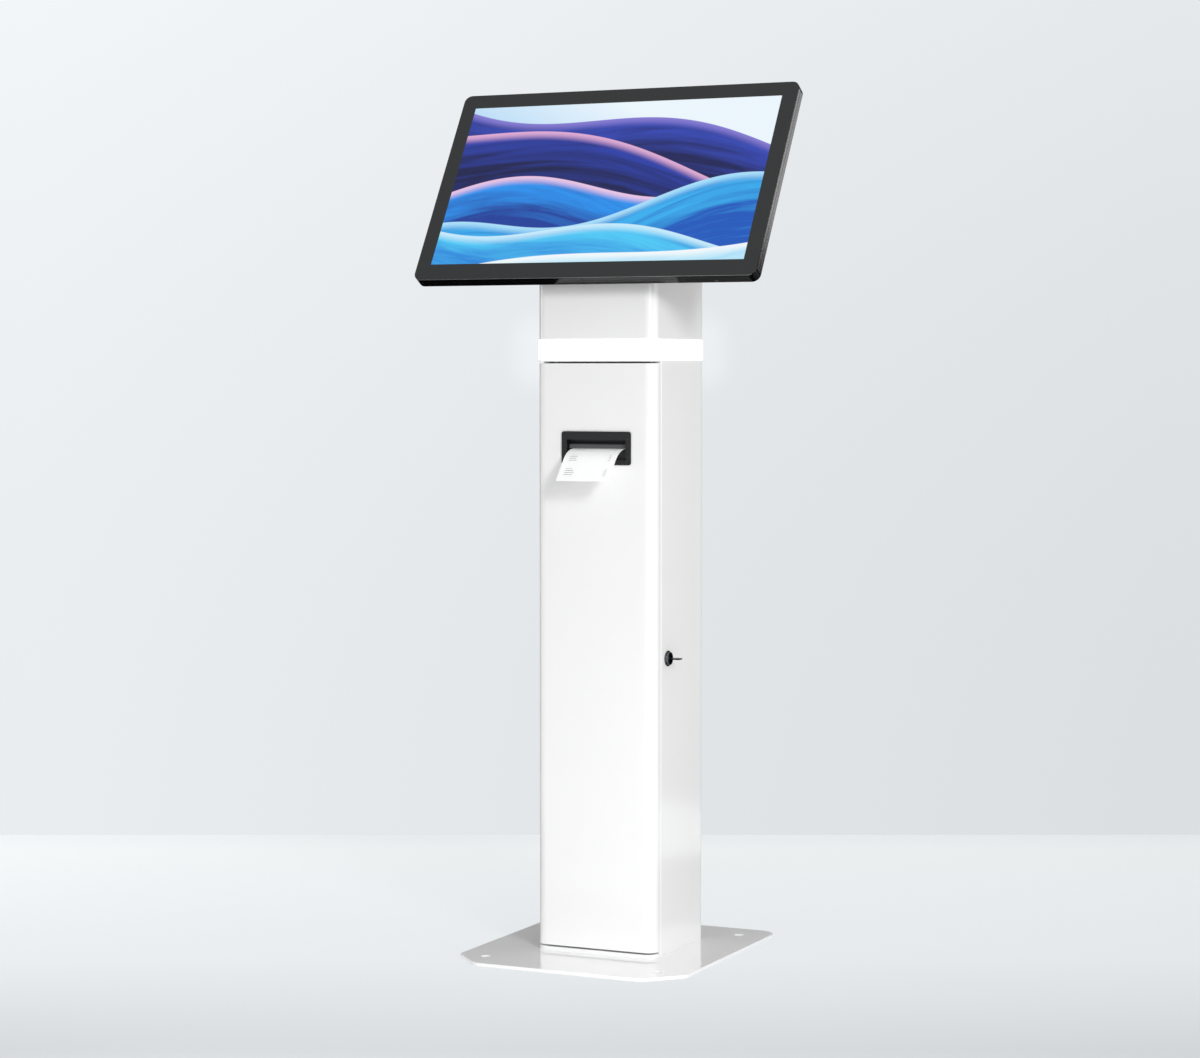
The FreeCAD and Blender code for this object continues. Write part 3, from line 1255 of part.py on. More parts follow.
def gear(label, teeth, y, z, bore, turn):
    # A spur gear across X whose teeth are straight-flanked, turned by a share of a tooth.
    count = round(number(teeth))
    module = number("gearModule")
    slack = number("gearSlack")
    pitch = module*count/2
    points = []
    for i in range(count):
        middle = 2*math.pi*(i + turn)/count
        for radius, half in ((pitch - 1.2*module, 1.02*module), (pitch, 0.785*module - slack/2),
                             (pitch + 0.9*module, 0.40*module)):
            points.append((radius, middle - half/radius))
        for radius, half in ((pitch + 0.9*module, 0.40*module), (pitch, 0.785*module - slack/2),
                             (pitch - 1.2*module, 1.02*module)):
            points.append((radius, middle + half/radius))
    start = number("printerX + cheekSide + gearGap")
    corners = [FreeCAD.Vector(0, radius*math.cos(angle), radius*math.sin(angle)) for radius, angle in points]
    corners.append(corners[0])
    face = Part.Face(Part.makePolygon(corners))
    solid = face.extrude(FreeCAD.Vector(number("gearWidth"), 0, 0))
    eye = Part.makeCylinder(number(bore), number("gearWidth"), FreeCAD.Vector(), FreeCAD.Vector(1, 0, 0))
    wheel = doc.addObject("Part::Feature", label)
    wheel.Shape = solid.cut(eye)
    wheel.Placement = FreeCAD.Placement(FreeCAD.Vector(start, number(y), number(z)), FreeCAD.Rotation())
    keep(wheel, label)


def makeDrive():
    # The line between the two shafts sets how the teeth stand: a tooth of one in a gap of the other.
    line = math.atan2(number("motorZ - platenZ"), number("motorY - platenY"))/(2*math.pi)
    gear("platen_gear", "platenTeeth", "platenY", "platenZ", "platenShaft", line*number("round(platenTeeth)"))
    gear("motor_gear", "motorTeeth", "motorY", "motorZ", "motorShaft", (line + 0.5)*number("round(motorTeeth)") + 0.5)
    inner = "printerX + chassisInner/2"
    can = rod("MotorCan", "x", (inner + " - motorLength", inner), ("motorY", "motorZ"), "motorRadius")
    shaft = rod("MotorShaft", "x", (inner, "printerX + cheekSide + gearGap + gearWidth"), ("motorY", "motorZ"),
                "motorShaft - runningPlay")
    keep(fuse("FeedMotor", [can, shaft]), "feed_motor")


def makePaper():
    # The strip leaves the roll's top, runs level to the slot, bends down and ends in a straight tail.
    thick = number("paperThick")
    radius = number("paperBendRadius")
    angle = math.radians(number("paperBendAngle"))
    tail = number("paperTail")
    level = number("slotHeight")
    bend = number("bezelBack")
    middle = FreeCAD.Vector(0, bend, level - radius)

    def onArc(turn, offset):
        return middle + FreeCAD.Vector(0, -math.sin(turn), math.cos(turn))*(radius + offset)

    along = FreeCAD.Vector(0, -math.cos(angle), -math.sin(angle))
    edges = []
    sides = {}
    for offset in (thick/2, -thick/2):
        start = FreeCAD.Vector(0, number("rollY"), level + offset)
        end = onArc(angle, offset) + along*tail
        edges.append(Part.LineSegment(start, onArc(0, offset)).toShape())
        edges.append(Part.Arc(onArc(0, offset), onArc(angle/2, offset), onArc(angle, offset)).toShape())
        edges.append(Part.LineSegment(onArc(angle, offset), end).toShape())
        sides[offset] = (start, end)
    for place in (0, 1):
        edges.append(Part.LineSegment(sides[thick/2][place], sides[-thick/2][place]).toShape())
    face = Part.Face(Part.Wire(Part.__sortEdges__(edges)))
    strip = doc.addObject("Part::Feature", "receipt_paper")
    strip.Shape = face.extrude(FreeCAD.Vector(number("paperWidth"), 0, 0))
    strip.Placement = FreeCAD.Placement(FreeCAD.Vector(number("printerX - paperWidth/2"), 0, 0), FreeCAD.Rotation())
    keep(strip, "receipt_paper")


def makePrintHead():
    low = "paperTop + rubGap"
    head = block("HeadBlock", printerSpan("paperWidth + 2"), ("platenY - headDeep/2", "platenY + headDeep/2"),
                 (low, low + " + headTall"))
    sink = block("HeadSink", printerSpan("paperWidth - 14"), ("platenY - headDeep/2 + 2", "platenY + headDeep/2 - 2"),
                 (low + " + headTall", low + " + headTall + 3"))
    keep(fuse("ThermalHead", [head, sink]), "thermal_head")
    springs = []
    for i, sign in enumerate("-+"):
        at = ("printerX %s (paperWidth/2 - 3)" % sign, "platenY")
        span = (low + " + headTall", "chassisHigh - chassisWall")
        outer = rod("SpringBlank%d" % i, "z", span, at, "springRadius")
        inner = rod("SpringHollow%d" % i, "z", (span[0] + " - 1", span[1] + " + 1"), at, "springRadius - 0.8")
        springs.append(cut("Spring%d" % i, outer, [inner]))
    keep(together("HeadSprings", springs), "head_springs")

    board = block("BoardSheet", printerSpan("chassisInner - 8"), ("chassisBack", "chassisBack + boardThick"),
                  ("chassisLow + 6", "chassisHigh - 6"))
    chips = [block("BoardChip%d" % i, ("printerX + %d" % x, "printerX + %d" % (x + wide)),
                   ("chassisBack + boardThick", "chassisBack + boardThick + %d" % deep),
                   ("chassisLow + %d" % z, "chassisLow + %d" % (z + tall)))
             for i, (x, wide, z, tall, deep) in enumerate(((-30, 14, 40, 14, 2), (6, 22, 12, 8, 7), (-34, 12, 12, 10, 6)))]
    keep(fuse("PrinterBoard", [board] + chips), "printer_board")


# Equipment on the rear wall

traySpots = [("%strayWidth/2 %s 10" % (a, b), z) for a, b in (("-", "+"), ("+", "-"))
             for z in ("trayLow + 10", "trayHigh - 10")]


def makeEquipment():
    body = newBody("equipment_plate")
    shape = sketchOn(body, "XZ", "trayFront")
    rectangle(shape, ("-trayWidth/2", "trayWidth/2"), ("trayLow", "trayHigh"))
    pad(body, shape, "trayThick")
    posts = sketchOn(body, "XZ", "trayFront + trayThick/2")
    for x, z in traySpots:
        circle(posts, x, z, "5")
    pad(body, posts, "trayThick/2 + trayStandoff")
    bores = sketchOn(body, "XZ", "trayFront")
    for x, z in traySpots:
        circle(bores, x, z, "2.1")
    pocket(body, bores, "trayThick + trayStandoff")
    screws = []
    for i, (x, z) in enumerate(traySpots):
        head = rod("TrayHead%d" % i, "y", ("trayFront - 2.6", "trayFront"), (x, z), "4")
        shank = rod("TrayShank%d" % i, "y", ("trayFront", "innerBack"), (x, z), "2")
        screws.append(fuse("TrayScrew%d" % i, [head, shank]))
    keep(together("PlateScrews", screws), "plate_screws")

    case = block("SupplyCase", ("-supplyWidth/2", "supplyWidth/2"), ("trayFront - supplyDeep", "trayFront"),
                 ("supplyLow", "supplyLow + supplyTall"))
    strip = block("SupplyTerminals", ("-supplyWidth/2 + 10", "supplyWidth/2 - 10"),
                  ("trayFront - supplyDeep + 6", "trayFront - 8"), ("supplyLow - 12", "supplyLow"))
    keep(fuse("PowerSupply", [case, strip]), "power_supply")
    case = block("ComputerCase", ("-computerWidth/2", "computerWidth/2"), ("trayFront - computerDeep", "trayFront"),
                 ("computerLow", "computerLow + computerTall"))
    ports = [block("Port%d" % i, ("-44 + %d" % (22*i), "-30 + %d" % (22*i)),
                   ("trayFront - computerDeep + 8", "trayFront - computerDeep + 20"), ("computerLow - 3", "computerLow"))
             for i in range(4)]
    keep(fuse("MiniComputer", [case] + ports), "mini_computer")

    flange = block("InletFlange", ("-inletFlangeWidth/2", "inletFlangeWidth/2"), ("columnBack", "columnBack + inletFlange"),
                   ("inletHeight - inletFlangeTall/2", "inletHeight + inletFlangeTall/2"))
    core = block("InletCore", ("-inletWidth/2", "inletWidth/2"), ("columnBack - inletDeep", "columnBack"),
                 ("inletHeight - inletTall/2", "inletHeight + inletTall/2"))
    socket = block("InletSocket", ("-inletWidth/2 + 2", "inletWidth/2 - 2"), ("columnBack - 14", "columnBack + inletFlange + 1"),
                   ("inletHeight - inletTall/2 + 2", "inletHeight + inletTall/2 - 2"))
    blades = [block("InletBlade%d" % i, ("%d - 1" % x, "%d + 1" % x), ("columnBack - 15", "columnBack - 5"),
                    ("inletHeight + %d - 2" % z, "inletHeight + %d + 2" % z))
              for i, (x, z) in enumerate(((-7, -2), (0, 2), (7, -2)))]
    hollow = cut("InletHollow", fuse("InletBlank", [flange, core]), [socket])
    keep(fuse("PowerInlet", [hollow] + blades), "power_inlet")


makeBasePlate()
makeBaseFasteners()
makeFootPlate()
makeHeaderPlate()
makeColumnShell()
makeLitRing()
makeNeck()
makeNeckBracket()
makeHeadBracket()
makePivots()
makeGlass()
makeFrontFrame()
makeRearCover()
makeDisplayInside()
makeDoor()
makeHinges()
makeCatch()
makeLock()
makeBezel()
makeTearBar()
makeChassis()
makeRollers()
makeDrive()
makePaper()
makePrintHead()
makeEquipment()
doc.recompute()

for thing in doc.Objects:
    if "Invalid" in thing.State or "Error" in thing.State:
        raise RuntimeError("%s failed: %s" % (thing.Label, thing.State))
for piece in nodes:
    if piece.Shape.isNull() or not piece.Shape.isValid() or not piece.Shape.Solids:
        raise RuntimeError(piece.Label + " has no valid solid")

os.makedirs("parts", exist_ok=True)
for piece in nodes:
    piece.Shape.exportStep("parts/%s.step" % piece.Label)
print("%d nodes, %d solids" % (len(nodes), sum(len(piece.Shape.Solids) for piece in nodes)))
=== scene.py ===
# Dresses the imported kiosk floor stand: finer pieces, materials, floor, lights and camera.
# Sizes are in millimetres until a helper turns them to metres, the stage's in metres. +Z is up and the
# screen faces -Y.
import json
import math

import bmesh
import bpy
from mathutils import Matrix, Vector

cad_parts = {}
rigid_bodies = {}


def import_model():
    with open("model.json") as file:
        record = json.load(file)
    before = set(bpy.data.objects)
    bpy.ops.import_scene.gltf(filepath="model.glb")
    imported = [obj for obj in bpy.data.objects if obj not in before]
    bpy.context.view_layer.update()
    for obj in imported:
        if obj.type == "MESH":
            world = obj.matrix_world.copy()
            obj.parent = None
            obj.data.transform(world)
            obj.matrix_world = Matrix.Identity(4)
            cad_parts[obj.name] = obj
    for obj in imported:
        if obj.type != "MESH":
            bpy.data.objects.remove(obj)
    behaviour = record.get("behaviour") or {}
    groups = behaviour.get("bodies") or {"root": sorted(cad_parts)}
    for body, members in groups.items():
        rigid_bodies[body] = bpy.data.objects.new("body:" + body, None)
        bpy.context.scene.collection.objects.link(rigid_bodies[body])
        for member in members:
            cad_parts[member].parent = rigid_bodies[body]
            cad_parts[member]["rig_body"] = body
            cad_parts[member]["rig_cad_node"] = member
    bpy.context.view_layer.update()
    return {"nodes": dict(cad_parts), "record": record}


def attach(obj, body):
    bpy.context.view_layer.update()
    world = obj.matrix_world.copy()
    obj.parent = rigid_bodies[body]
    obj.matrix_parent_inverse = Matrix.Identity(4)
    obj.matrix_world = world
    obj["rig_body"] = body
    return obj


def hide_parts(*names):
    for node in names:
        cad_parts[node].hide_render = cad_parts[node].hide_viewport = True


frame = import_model()
nodes = frame["nodes"]
scene = bpy.context.scene
tiny = 0.001
corners = [(i, j) for i in (-1, 1) for j in (-1, 1)]


# Helpers

def wake(piece=None):
    # Leaves edit mode and makes a piece the only one selected.
    if bpy.context.object and bpy.context.object.mode != "OBJECT":
        bpy.ops.object.mode_set(mode="OBJECT")
    bpy.ops.object.select_all(action="DESELECT")
    if piece:
        bpy.context.view_layer.objects.active = piece
        piece.select_set(True)


def settle(name):
    # Names the new primitive and puts its place into its mesh.
    piece = bpy.context.object
    piece.name = piece.data.name = name
    bpy.ops.object.transform_apply(location=True, rotation=True, scale=True)
    return piece


def around(middle, half):
    return middle - half, middle + half


def startBox(name, x, y, z):
    wake()
    spans = (x, y, z)
    bpy.ops.mesh.primitive_cube_add(size=1, location=[sum(span) / 2 * tiny for span in spans],
                                    scale=[(span[1] - span[0]) * tiny for span in spans])
    return settle(name)


def startRod(name, axis, span, at, radius, sides=48):
    wake()
    place = list(at)
    place.insert("xyz".index(axis), sum(span) / 2)
    turn = {"x": (0, math.pi / 2, 0), "y": (-math.pi / 2, 0, 0), "z": (0, 0, 0)}[axis]
    bpy.ops.mesh.primitive_cylinder_add(vertices=sides, radius=radius * tiny, depth=(span[1] - span[0]) * tiny,
                                        location=[value * tiny for value in place], rotation=turn)
    return settle(name)


def pick(piece, rule, kind="FACE"):
    # Selects in edit mode what a rule of its middle (mm) and its direction lets through.
    wake(piece)
    bpy.ops.object.mode_set(mode="EDIT")
    bpy.ops.mesh.select_mode(type=kind)
    bpy.ops.mesh.select_all(action="DESELECT")
    shape = bmesh.from_edit_mesh(piece.data)
    for part in shape.faces if kind == "FACE" else shape.edges:
        if kind == "FACE":
            middle, way = part.calc_center_bounds(), part.normal
        else:
            ends = [corner.co for corner in part.verts]
            middle, way = (ends[0] + ends[1]) / 2, (ends[1] - ends[0]).normalized()
        if rule(middle / tiny, way):
            part.select_set(True)
    bmesh.update_edit_mesh(piece.data)


def upright(middle, way):
    return abs(way.z) > 0.99


def frontToBack(middle, way):
    return abs(way.y) > 0.99


def roundEdges(piece, rule, radius, segments=8):
    pick(piece, rule, "EDGE")
    bpy.ops.mesh.bevel(offset=radius * tiny, segments=segments, affect="EDGES", clamp_overlap=False)


def startSlot(name, x, y, z, radius):
    # A cutter with its corners rounded as seen from the front.
    slot = startBox(name, x, y, z)
    roundEdges(slot, frontToBack, radius, 3)
    wake(slot)
    return slot


def drop(piece, rule):
    # Takes away the faces that a rule lets through.
    pick(piece, rule)
    bpy.ops.mesh.delete(type="FACE")


def grow(move):
    bpy.ops.mesh.extrude_region()
    bpy.ops.transform.translate(value=[value * tiny for value in move])


def cutAcross(piece, at, way):
    # Cuts all faces along a plane, without taking anything away.
    pick(piece, lambda middle, normal: True)
    bpy.ops.mesh.bisect(plane_co=[value * tiny for value in at], plane_no=way)


def modify(piece, kind, **settings):
    wake(piece)
    modifier = piece.modifiers.new(kind.title(), kind)
    for name, value in settings.items():
        setattr(modifier, name, value)
    bpy.ops.object.modifier_apply(modifier=modifier.name)


def carve(piece, cutters, operation="DIFFERENCE"):
    wake(cutters[0])
    for cutter in cutters:
        cutter.select_set(True)
    if len(cutters) > 1:
        bpy.ops.object.join()
    modify(piece, "BOOLEAN", operation=operation, solver="EXACT", object=cutters[0])
    bpy.data.objects.remove(cutters[0])


def coat(piece, look):
    piece.data.materials.append(materials[look])


def paintFaces(piece, look, rule):
    # Gives a look of its own to the faces that a rule lets through.
    coat(piece, look)
    pick(piece, rule)
    piece.active_material_index = len(piece.data.materials) - 1
    bpy.ops.object.material_slot_assign()
    wake()


def joinTo(piece, others):
    wake(piece)
    for other in others:
        other.select_set(True)
    bpy.ops.object.join()
    return piece


def sheetInwards(piece, thick):
    modify(piece, "SOLIDIFY", thickness=thick * tiny, offset=-1, use_even_offset=True, use_rim=True)


def leanBack(piece):
    # From the display's own frame, the glass's front centre, to where the display is.
    piece.matrix_world = displayPlace
    wake(piece)
    bpy.ops.object.transform_apply(location=True, rotation=True, scale=True)
    return piece


def softCopy(name, node):
    # A copy of a CAD node with its doubles merged, to be given soft edges.
    wake(nodes[node])
    bpy.ops.object.duplicate()
    piece = bpy.context.object
    piece.name = piece.data.name = name
    piece.data.materials.clear()
    piece.parent = None
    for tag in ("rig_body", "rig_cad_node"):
        del piece[tag]
    bpy.ops.object.mode_set(mode="EDIT")
    bpy.ops.mesh.select_all(action="SELECT")
    bpy.ops.mesh.remove_doubles(threshold=0.00001)
    bpy.ops.mesh.dissolve_limited(angle_limit=math.radians(1))
    bpy.ops.object.mode_set(mode="OBJECT")
    return piece


def finish(piece, body, node, look, edge, segments=2):
    # Soft edges (mm), even shading, a coat if none is on yet, and the words that tie the piece to the frame.
    wake(piece)
    bpy.ops.object.shade_smooth()
    if edge:
        modify(piece, "BEVEL", width=edge * tiny, segments=segments, limit_method="ANGLE",
               angle_limit=math.radians(30), use_clamp_overlap=True)
    modify(piece, "WEIGHTED_NORMAL")
    if look:
        coat(piece, look)
    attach(piece, body)
    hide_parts(node)


# Materials

def linearColour(code):
    parts = [int(code[i:i + 2], 16) / 255 for i in (1, 3, 5)]
    return [part / 12.92 if part <= 0.04045 else ((part + 0.055) / 1.055) ** 2.4 for part in parts] + [1]


def link(node, links):
    # A link comes from a socket, or from a node's first output.
    for name, source in links.items():
        socket = source.outputs[0] if hasattr(source, "outputs") else source
        node.id_data.links.new(socket, node.inputs[name])


def addNode(tree, kind, settings=None, links=None):
    # A setting names a property or an input.
    node = tree.nodes.new("ShaderNode" + kind)
    for name, value in (settings or {}).items():
        if isinstance(name, str) and hasattr(node, name):
            setattr(node, name, value)
        else:
            node.inputs[name].default_value = value
    link(node, links or {})
    return node


def startMaterial(name, values):
    material = bpy.data.materials.new(name)
    material.use_nodes = True
    shader = material.node_tree.nodes["Principled BSDF"]
    for socket, value in values.items():
        shader.inputs[socket].default_value = value
    return material, material.node_tree, shader


def twoTones(low, high):
    # Settings of a colour mix.
    return {"data_type": "RGBA", 6: linearColour(low), 7: linearColour(high)}


def makeSurface(name, look):
    # colours: the two tones of its patches; patch and grain: their size in mm; roughness: over the grain;
    # stretch and pattern: of the texture; bump: height in mm; relief: the bump's strength; values: what is
    # the same all over.
    material, tree, shader = startMaterial(name, look.get("values", {}))
    place = addNode(tree, "Mapping", {"Scale": look.get("stretch", (1, 1, 1))},
                    {"Vector": addNode(tree, "TexCoord").outputs["Object"]})
    patches = addNode(tree, "TexNoise", {"Scale": 1000 / look["patch"], "Detail": 3.0}, {"Vector": place})
    tones = addNode(tree, "Mix", twoTones(*look["colours"]), {0: patches})
    grain = addNode(tree, look.get("pattern", "TexNoise"), {"Scale": 1000 / look["grain"]}, {"Vector": place})
    low, high = look["roughness"]
    rough = addNode(tree, "MapRange", {"From Min": 0.3, "From Max": 0.7, "To Min": low, "To Max": high},
                    {"Value": grain})
    link(shader, {"Base Color": tones.outputs[2], "Roughness": rough})
    if "bump" in look:
        link(shader, {"Normal": addNode(tree, "Bump", {"Strength": look["relief"],
                                                       "Distance": look["bump"] * tiny},
                                        {"Height": grain})})
    return material


surfaces = {
    # Polyester powder coat on sheet steel: smooth satin white with a faint orange peel.
    # The real peel is about 1.5 mm, drawn at 3 mm so that it shows.
    "whitePowderCoat": {"colours": ("#f3f3f3", "#f6f6f6"), "patch": 120, "grain": 3, "roughness": (0.12, 0.14),
                        "bump": 0.006, "relief": 0.08},
    # The same coat on the floor plate, glossier, so the column mirrors in it, and a little whiter: a painted lift
    # for the light on its top.
    "glossyPowderCoat": {"colours": ("#fafafa", "#fdfdfd"), "patch": 90, "grain": 3, "roughness": (0.1, 0.13),
                         "bump": 0.004, "relief": 0.06},
    # Zinc plate: pale blue-grey metal with a dull, slightly cloudy surface.
    "zincPlate": {"colours": ("#a9aeb4", "#c2c6ca"), "patch": 6, "grain": 2, "roughness": (0.28, 0.45),
                  "pattern": "TexVoronoi", "bump": 0.01, "relief": 0.2, "values": {"Metallic": 1.0}},
    # Black powder coat on brackets and bolts: a matte, finely grained black.
    "blackPowderCoat": {"colours": ("#17181a", "#1f2022"), "patch": 20, "grain": 1.2, "roughness": (0.42, 0.55),
                        "bump": 0.02, "relief": 0.4},
    # Stainless steel ground along X: bright, with fine lines.
    "groundStainless": {"colours": ("#9a9c9e", "#b4b6b8"), "patch": 3, "grain": 1.5, "roughness": (0.22, 0.38),
                        "stretch": (0.05, 1, 1), "bump": 0.004, "relief": 0.3, "values": {"Metallic": 1.0}},
    # Black oxide on the tear bar's spring steel: dark grey, dull, drawn out along its length.
    "blackOxide": {"colours": ("#595a5b", "#656667"), "patch": 5, "grain": 1.2, "roughness": (0.4, 0.5),
                   "stretch": (0.1, 1, 1), "bump": 0.004, "relief": 0.3, "values": {"Specular IOR Level": 0.25}},
    # Black nickel on a brass key: a dark warm grey, handled smooth, with small scratches.
    "blackNickel": {"colours": ("#1c1b1a", "#262523"), "patch": 4, "grain": 0.6, "roughness": (0.2, 0.36),
                    "stretch": (0.4, 1, 1), "bump": 0.01, "relief": 0.3, "values": {"Metallic": 1.0}},
    # Bright nickel plate on brass contacts: warm grey, smooth.
    "nickelPlate": {"colours": ("#8f8b84", "#a8a49c"), "patch": 4, "grain": 0.6, "roughness": (0.16, 0.34),
                    "stretch": (0.4, 1, 1), "bump": 0.01, "relief": 0.3, "values": {"Metallic": 1.0}},
    # Black chrome on a zinc casting: a dark mirror with bright edges.
    "blackChrome": {"colours": ("#585b5f", "#676a6e"), "patch": 8, "grain": 2, "roughness": (0.05, 0.1),
                    "values": {"Metallic": 1.0}},
    # ABS moulded in a spark-eroded tool: charcoal with a fine even texture, about 0.4 mm, drawn at 1 mm.
    "charcoalAbs": {"colours": ("#1b1b1c", "#202021"), "patch": 40, "grain": 1, "roughness": (0.38, 0.5),
                    "bump": 0.02, "relief": 0.35},
    # The same ABS with piano-black lacquer on the rim that faces the user: deep black with clear reflections.
    "pianoLacquer": {"colours": ("#060607", "#09090a"), "patch": 60, "grain": 2, "roughness": (0.06, 0.09),
                     "values": {"Specular IOR Level": 0.07}},
    # The lacquer over a faint texture at the display's sides: black with a soft grey sheen.
    "satinLacquer": {"colours": ("#0c0c0d", "#101011"), "patch": 60, "grain": 90, "roughness": (0.22, 0.24),
                     "values": {"Specular IOR Level": 0.25}},
    # Glass-filled nylon in black: matte, a touch cloudy.
    "blackNylon": {"colours": ("#0d0d0e", "#121213"), "patch": 15, "grain": 0.8, "roughness": (0.4, 0.52),
                   "bump": 0.015, "relief": 0.4},
    # Natural nylon: off-white, waxy, lets a little light in.
    "naturalNylon": {"colours": ("#d9d5c8", "#e2ded2"), "patch": 8, "grain": 1, "roughness": (0.35, 0.5),
                     "bump": 0.01, "relief": 0.3, "values": {"Subsurface Weight": 0.15}},
    # Pale grey ABS of the light carrier, moulded and matte.
    "paleAbs": {"colours": ("#c8cacc", "#d2d4d6"), "patch": 20, "grain": 1, "roughness": (0.4, 0.5),
                "bump": 0.01, "relief": 0.3},
    # Rubber of the rollers and stops: dark, dull, faintly dusty.
    "blackRubber": {"colours": ("#1c1c1c", "#272726"), "patch": 6, "grain": 0.5, "roughness": (0.7, 0.85),
                    "bump": 0.02, "relief": 0.5},
    # Extruded aluminium, sand-matte and anodised in its natural colour.
    "anodisedAluminium": {"colours": ("#a4a7aa", "#b3b6b9"), "patch": 12, "grain": 0.8, "roughness": (0.32, 0.44),
                          "stretch": (1, 1, 0.08), "bump": 0.006, "relief": 0.3, "values": {"Metallic": 1.0}},
    # Circuit board under solder mask: deep green, satin, with slightly raised copper.
    "solderMask": {"colours": ("#14492c", "#1d5c39"), "patch": 5, "grain": 3, "roughness": (0.3, 0.42),
                   "pattern": "TexVoronoi", "bump": 0.03, "relief": 0.5},
    # Clear green acrylic over the status light.
    "greenLens": {"colours": ("#39453d", "#46544a"), "patch": 2, "grain": 1, "roughness": (0.1, 0.2),
                  "values": {"Transmission Weight": 0.4}},
}
materials = {name: makeSurface(name, look) for name, look in surfaces.items()}
print("materials ready")


# Floor plate

plate = {"halfWide": 173.5, "halfDeep": 192.5, "thick": 5.0, "cut": 48.0, "cutRound": 18.0, "backRound": 26.0,
         "anchorHole": 6.75, "anchorX": 131.0, "anchorY": 146.0, "cableHole": 25.0, "edge": 0.6,
         "screwX": 65.0, "screwY": 48.0, "screwHole": 4.1, "screwSink": 8.4}
columnMiddle = 18.25


def makeFloorPlate():
    wide, deep, thick = plate["halfWide"], plate["halfDeep"], plate["thick"]
    piece = startBox("floorPlate", around(0, wide), around(0, deep), (0, thick))
    roundEdges(piece, lambda middle, way: upright(middle, way) and middle.y > 0, plate["backRound"], 12)
    roundEdges(piece, lambda middle, way: upright(middle, way) and middle.y < -deep + 1, plate["cut"], 1)
    turn = plate["cutRound"] * math.tan(math.radians(22.5))
    roundEdges(piece, lambda middle, way: upright(middle, way) and middle.y < -deep + plate["cut"] + 1, turn, 6)
    through = (-1, thick + 1)
    cutters = []
    for i, j in corners:
        cutters.append(startRod("anchor", "z", through, (i * plate["anchorX"], j * plate["anchorY"]),
                                plate["anchorHole"], 40))
        at = (i * plate["screwX"], columnMiddle + j * plate["screwY"])
        cutters.append(startRod("screw", "z", through, at, plate["screwHole"], 32))
        pick(cutters[-1], lambda middle, way: way.z < -0.9)
        spread = (plate["screwSink"] + 1) / plate["screwHole"]
        bpy.ops.transform.resize(value=(spread, spread, 1), center_override=(at[0] * tiny, at[1] * tiny, 0))
    cutters.append(startRod("cable", "z", through, (0, columnMiddle), plate["cableHole"], 64))
    carve(piece, cutters)
    finish(piece, "stand", "base_plate", "glossyPowderCoat", plate["edge"], 3)


makeFloorPlate()
print("floor plate made")


# Column: walls, door, lit collar, sleeve and cap

column = {"half": 91.0, "front": -68.0, "back": 104.5, "frontRound": 16.0, "backRound": 7.5, "sheet": 2.0,
          "bottom": 5.0, "top": 838.0, "wallFront": -44.5, "flange": 10.0, "seamRound": 2.6, "edge": 0.5,
          "ventHeights": (600.0, 770.0), "ventHalf": 17.0, "ventWide": 3.0, "ventPitch": 10.0, "ventRound": 1.2,
          "lockAt": (-22.0, 421.3), "lockHole": 9.5, "inletHalf": 13.95, "inletZ": (49.8, 70.2)}
door = {"back": -44.8, "bottom": 12.4, "top": 833.1, "sheet": 1.5, "lip": 8.5, "edge": 0.5,
        "windowX": (-46.4, 52.6), "windowZ": (695.25, 735.25),
        "studX": (-52.65, 58.85), "studZ": (696.25, 730.25), "stud": 1.5, "studEnd": 7.5}
collar = {"low": 838.0, "high": 866.0, "proud": 1.0, "wall": 3.0, "edge": 0.8}
sleeve = {"low": 866.0, "high": 952.0, "cap": 955.0, "cableHole": 20.0, "cableY": 14.5,
          "screwX": 34.0, "screwY": 32.0, "screwHole": 3.1}


def makeColumnWalls():
    half, front, back = column["half"], column["wallFront"], column["back"]
    piece = startBox("columnWalls", around(0, half), (front, back), (column["bottom"], column["top"]))
    roundEdges(piece, lambda middle, way: upright(middle, way) and middle.y > 0, column["backRound"])
    drop(piece, lambda middle, way: abs(way.z) > 0.9 or way.y < -0.9)
    for side in (-1, 1):
        pick(piece, lambda middle, way: upright(middle, way) and middle.y < front + 0.1 and middle.x * side > 0,
             "EDGE")
        bpy.ops.mesh.extrude_edges_move(TRANSFORM_OT_translate={"value": (-side * column["flange"] * tiny, 0, 0)})
    pick(piece, lambda middle, way: True)
    bpy.ops.mesh.normals_make_consistent(inside=False)
    sheetInwards(piece, column["sheet"])
    roundEdges(piece, lambda middle, way: upright(middle, way) and middle.y < front + 0.1
               and abs(middle.x) > half - 0.1, column["seamRound"], 4)
    through = around(back, 4)
    cutters = [startRod("lock", "x", around(half, 5), column["lockAt"], column["lockHole"]),
               startBox("inlet", around(0, column["inletHalf"]), through, column["inletZ"])]
    for height in column["ventHeights"]:
        cutters += [startSlot("vent", around(i * column["ventPitch"], column["ventWide"] / 2), through,
                              around(height, column["ventHalf"]), column["ventRound"]) for i in range(-4, 5)]
    carve(piece, cutters)
    finish(piece, "stand", "column_shell", "whitePowderCoat", column["edge"])


def makeServiceDoor():
    half, front, lip = column["half"], column["front"], door["lip"]
    piece = startBox("serviceDoor", around(0, half), (front, door["back"]), (door["bottom"], door["top"]))
    roundEdges(piece, lambda middle, way: upright(middle, way) and middle.y < front + 1, column["frontRound"], 12)
    for side in (-1, 1):
        cutAcross(piece, (side * (half - lip), 0, 0), (1, 0, 0))
    drop(piece, lambda middle, way: way.y > 0.9 and abs(middle.x) < half - lip - 1)
    sheetInwards(piece, door["sheet"])
    carve(piece, [startBox("window", door["windowX"], around(front, 5), door["windowZ"])])
    carve(piece, [startRod("stud", "y", (front + 1, front + door["studEnd"]), (x, z), door["stud"], 20)
                  for x in door["studX"] for z in door["studZ"]], "UNION")
    finish(piece, "door", "door_panel", "whitePowderCoat", door["edge"])


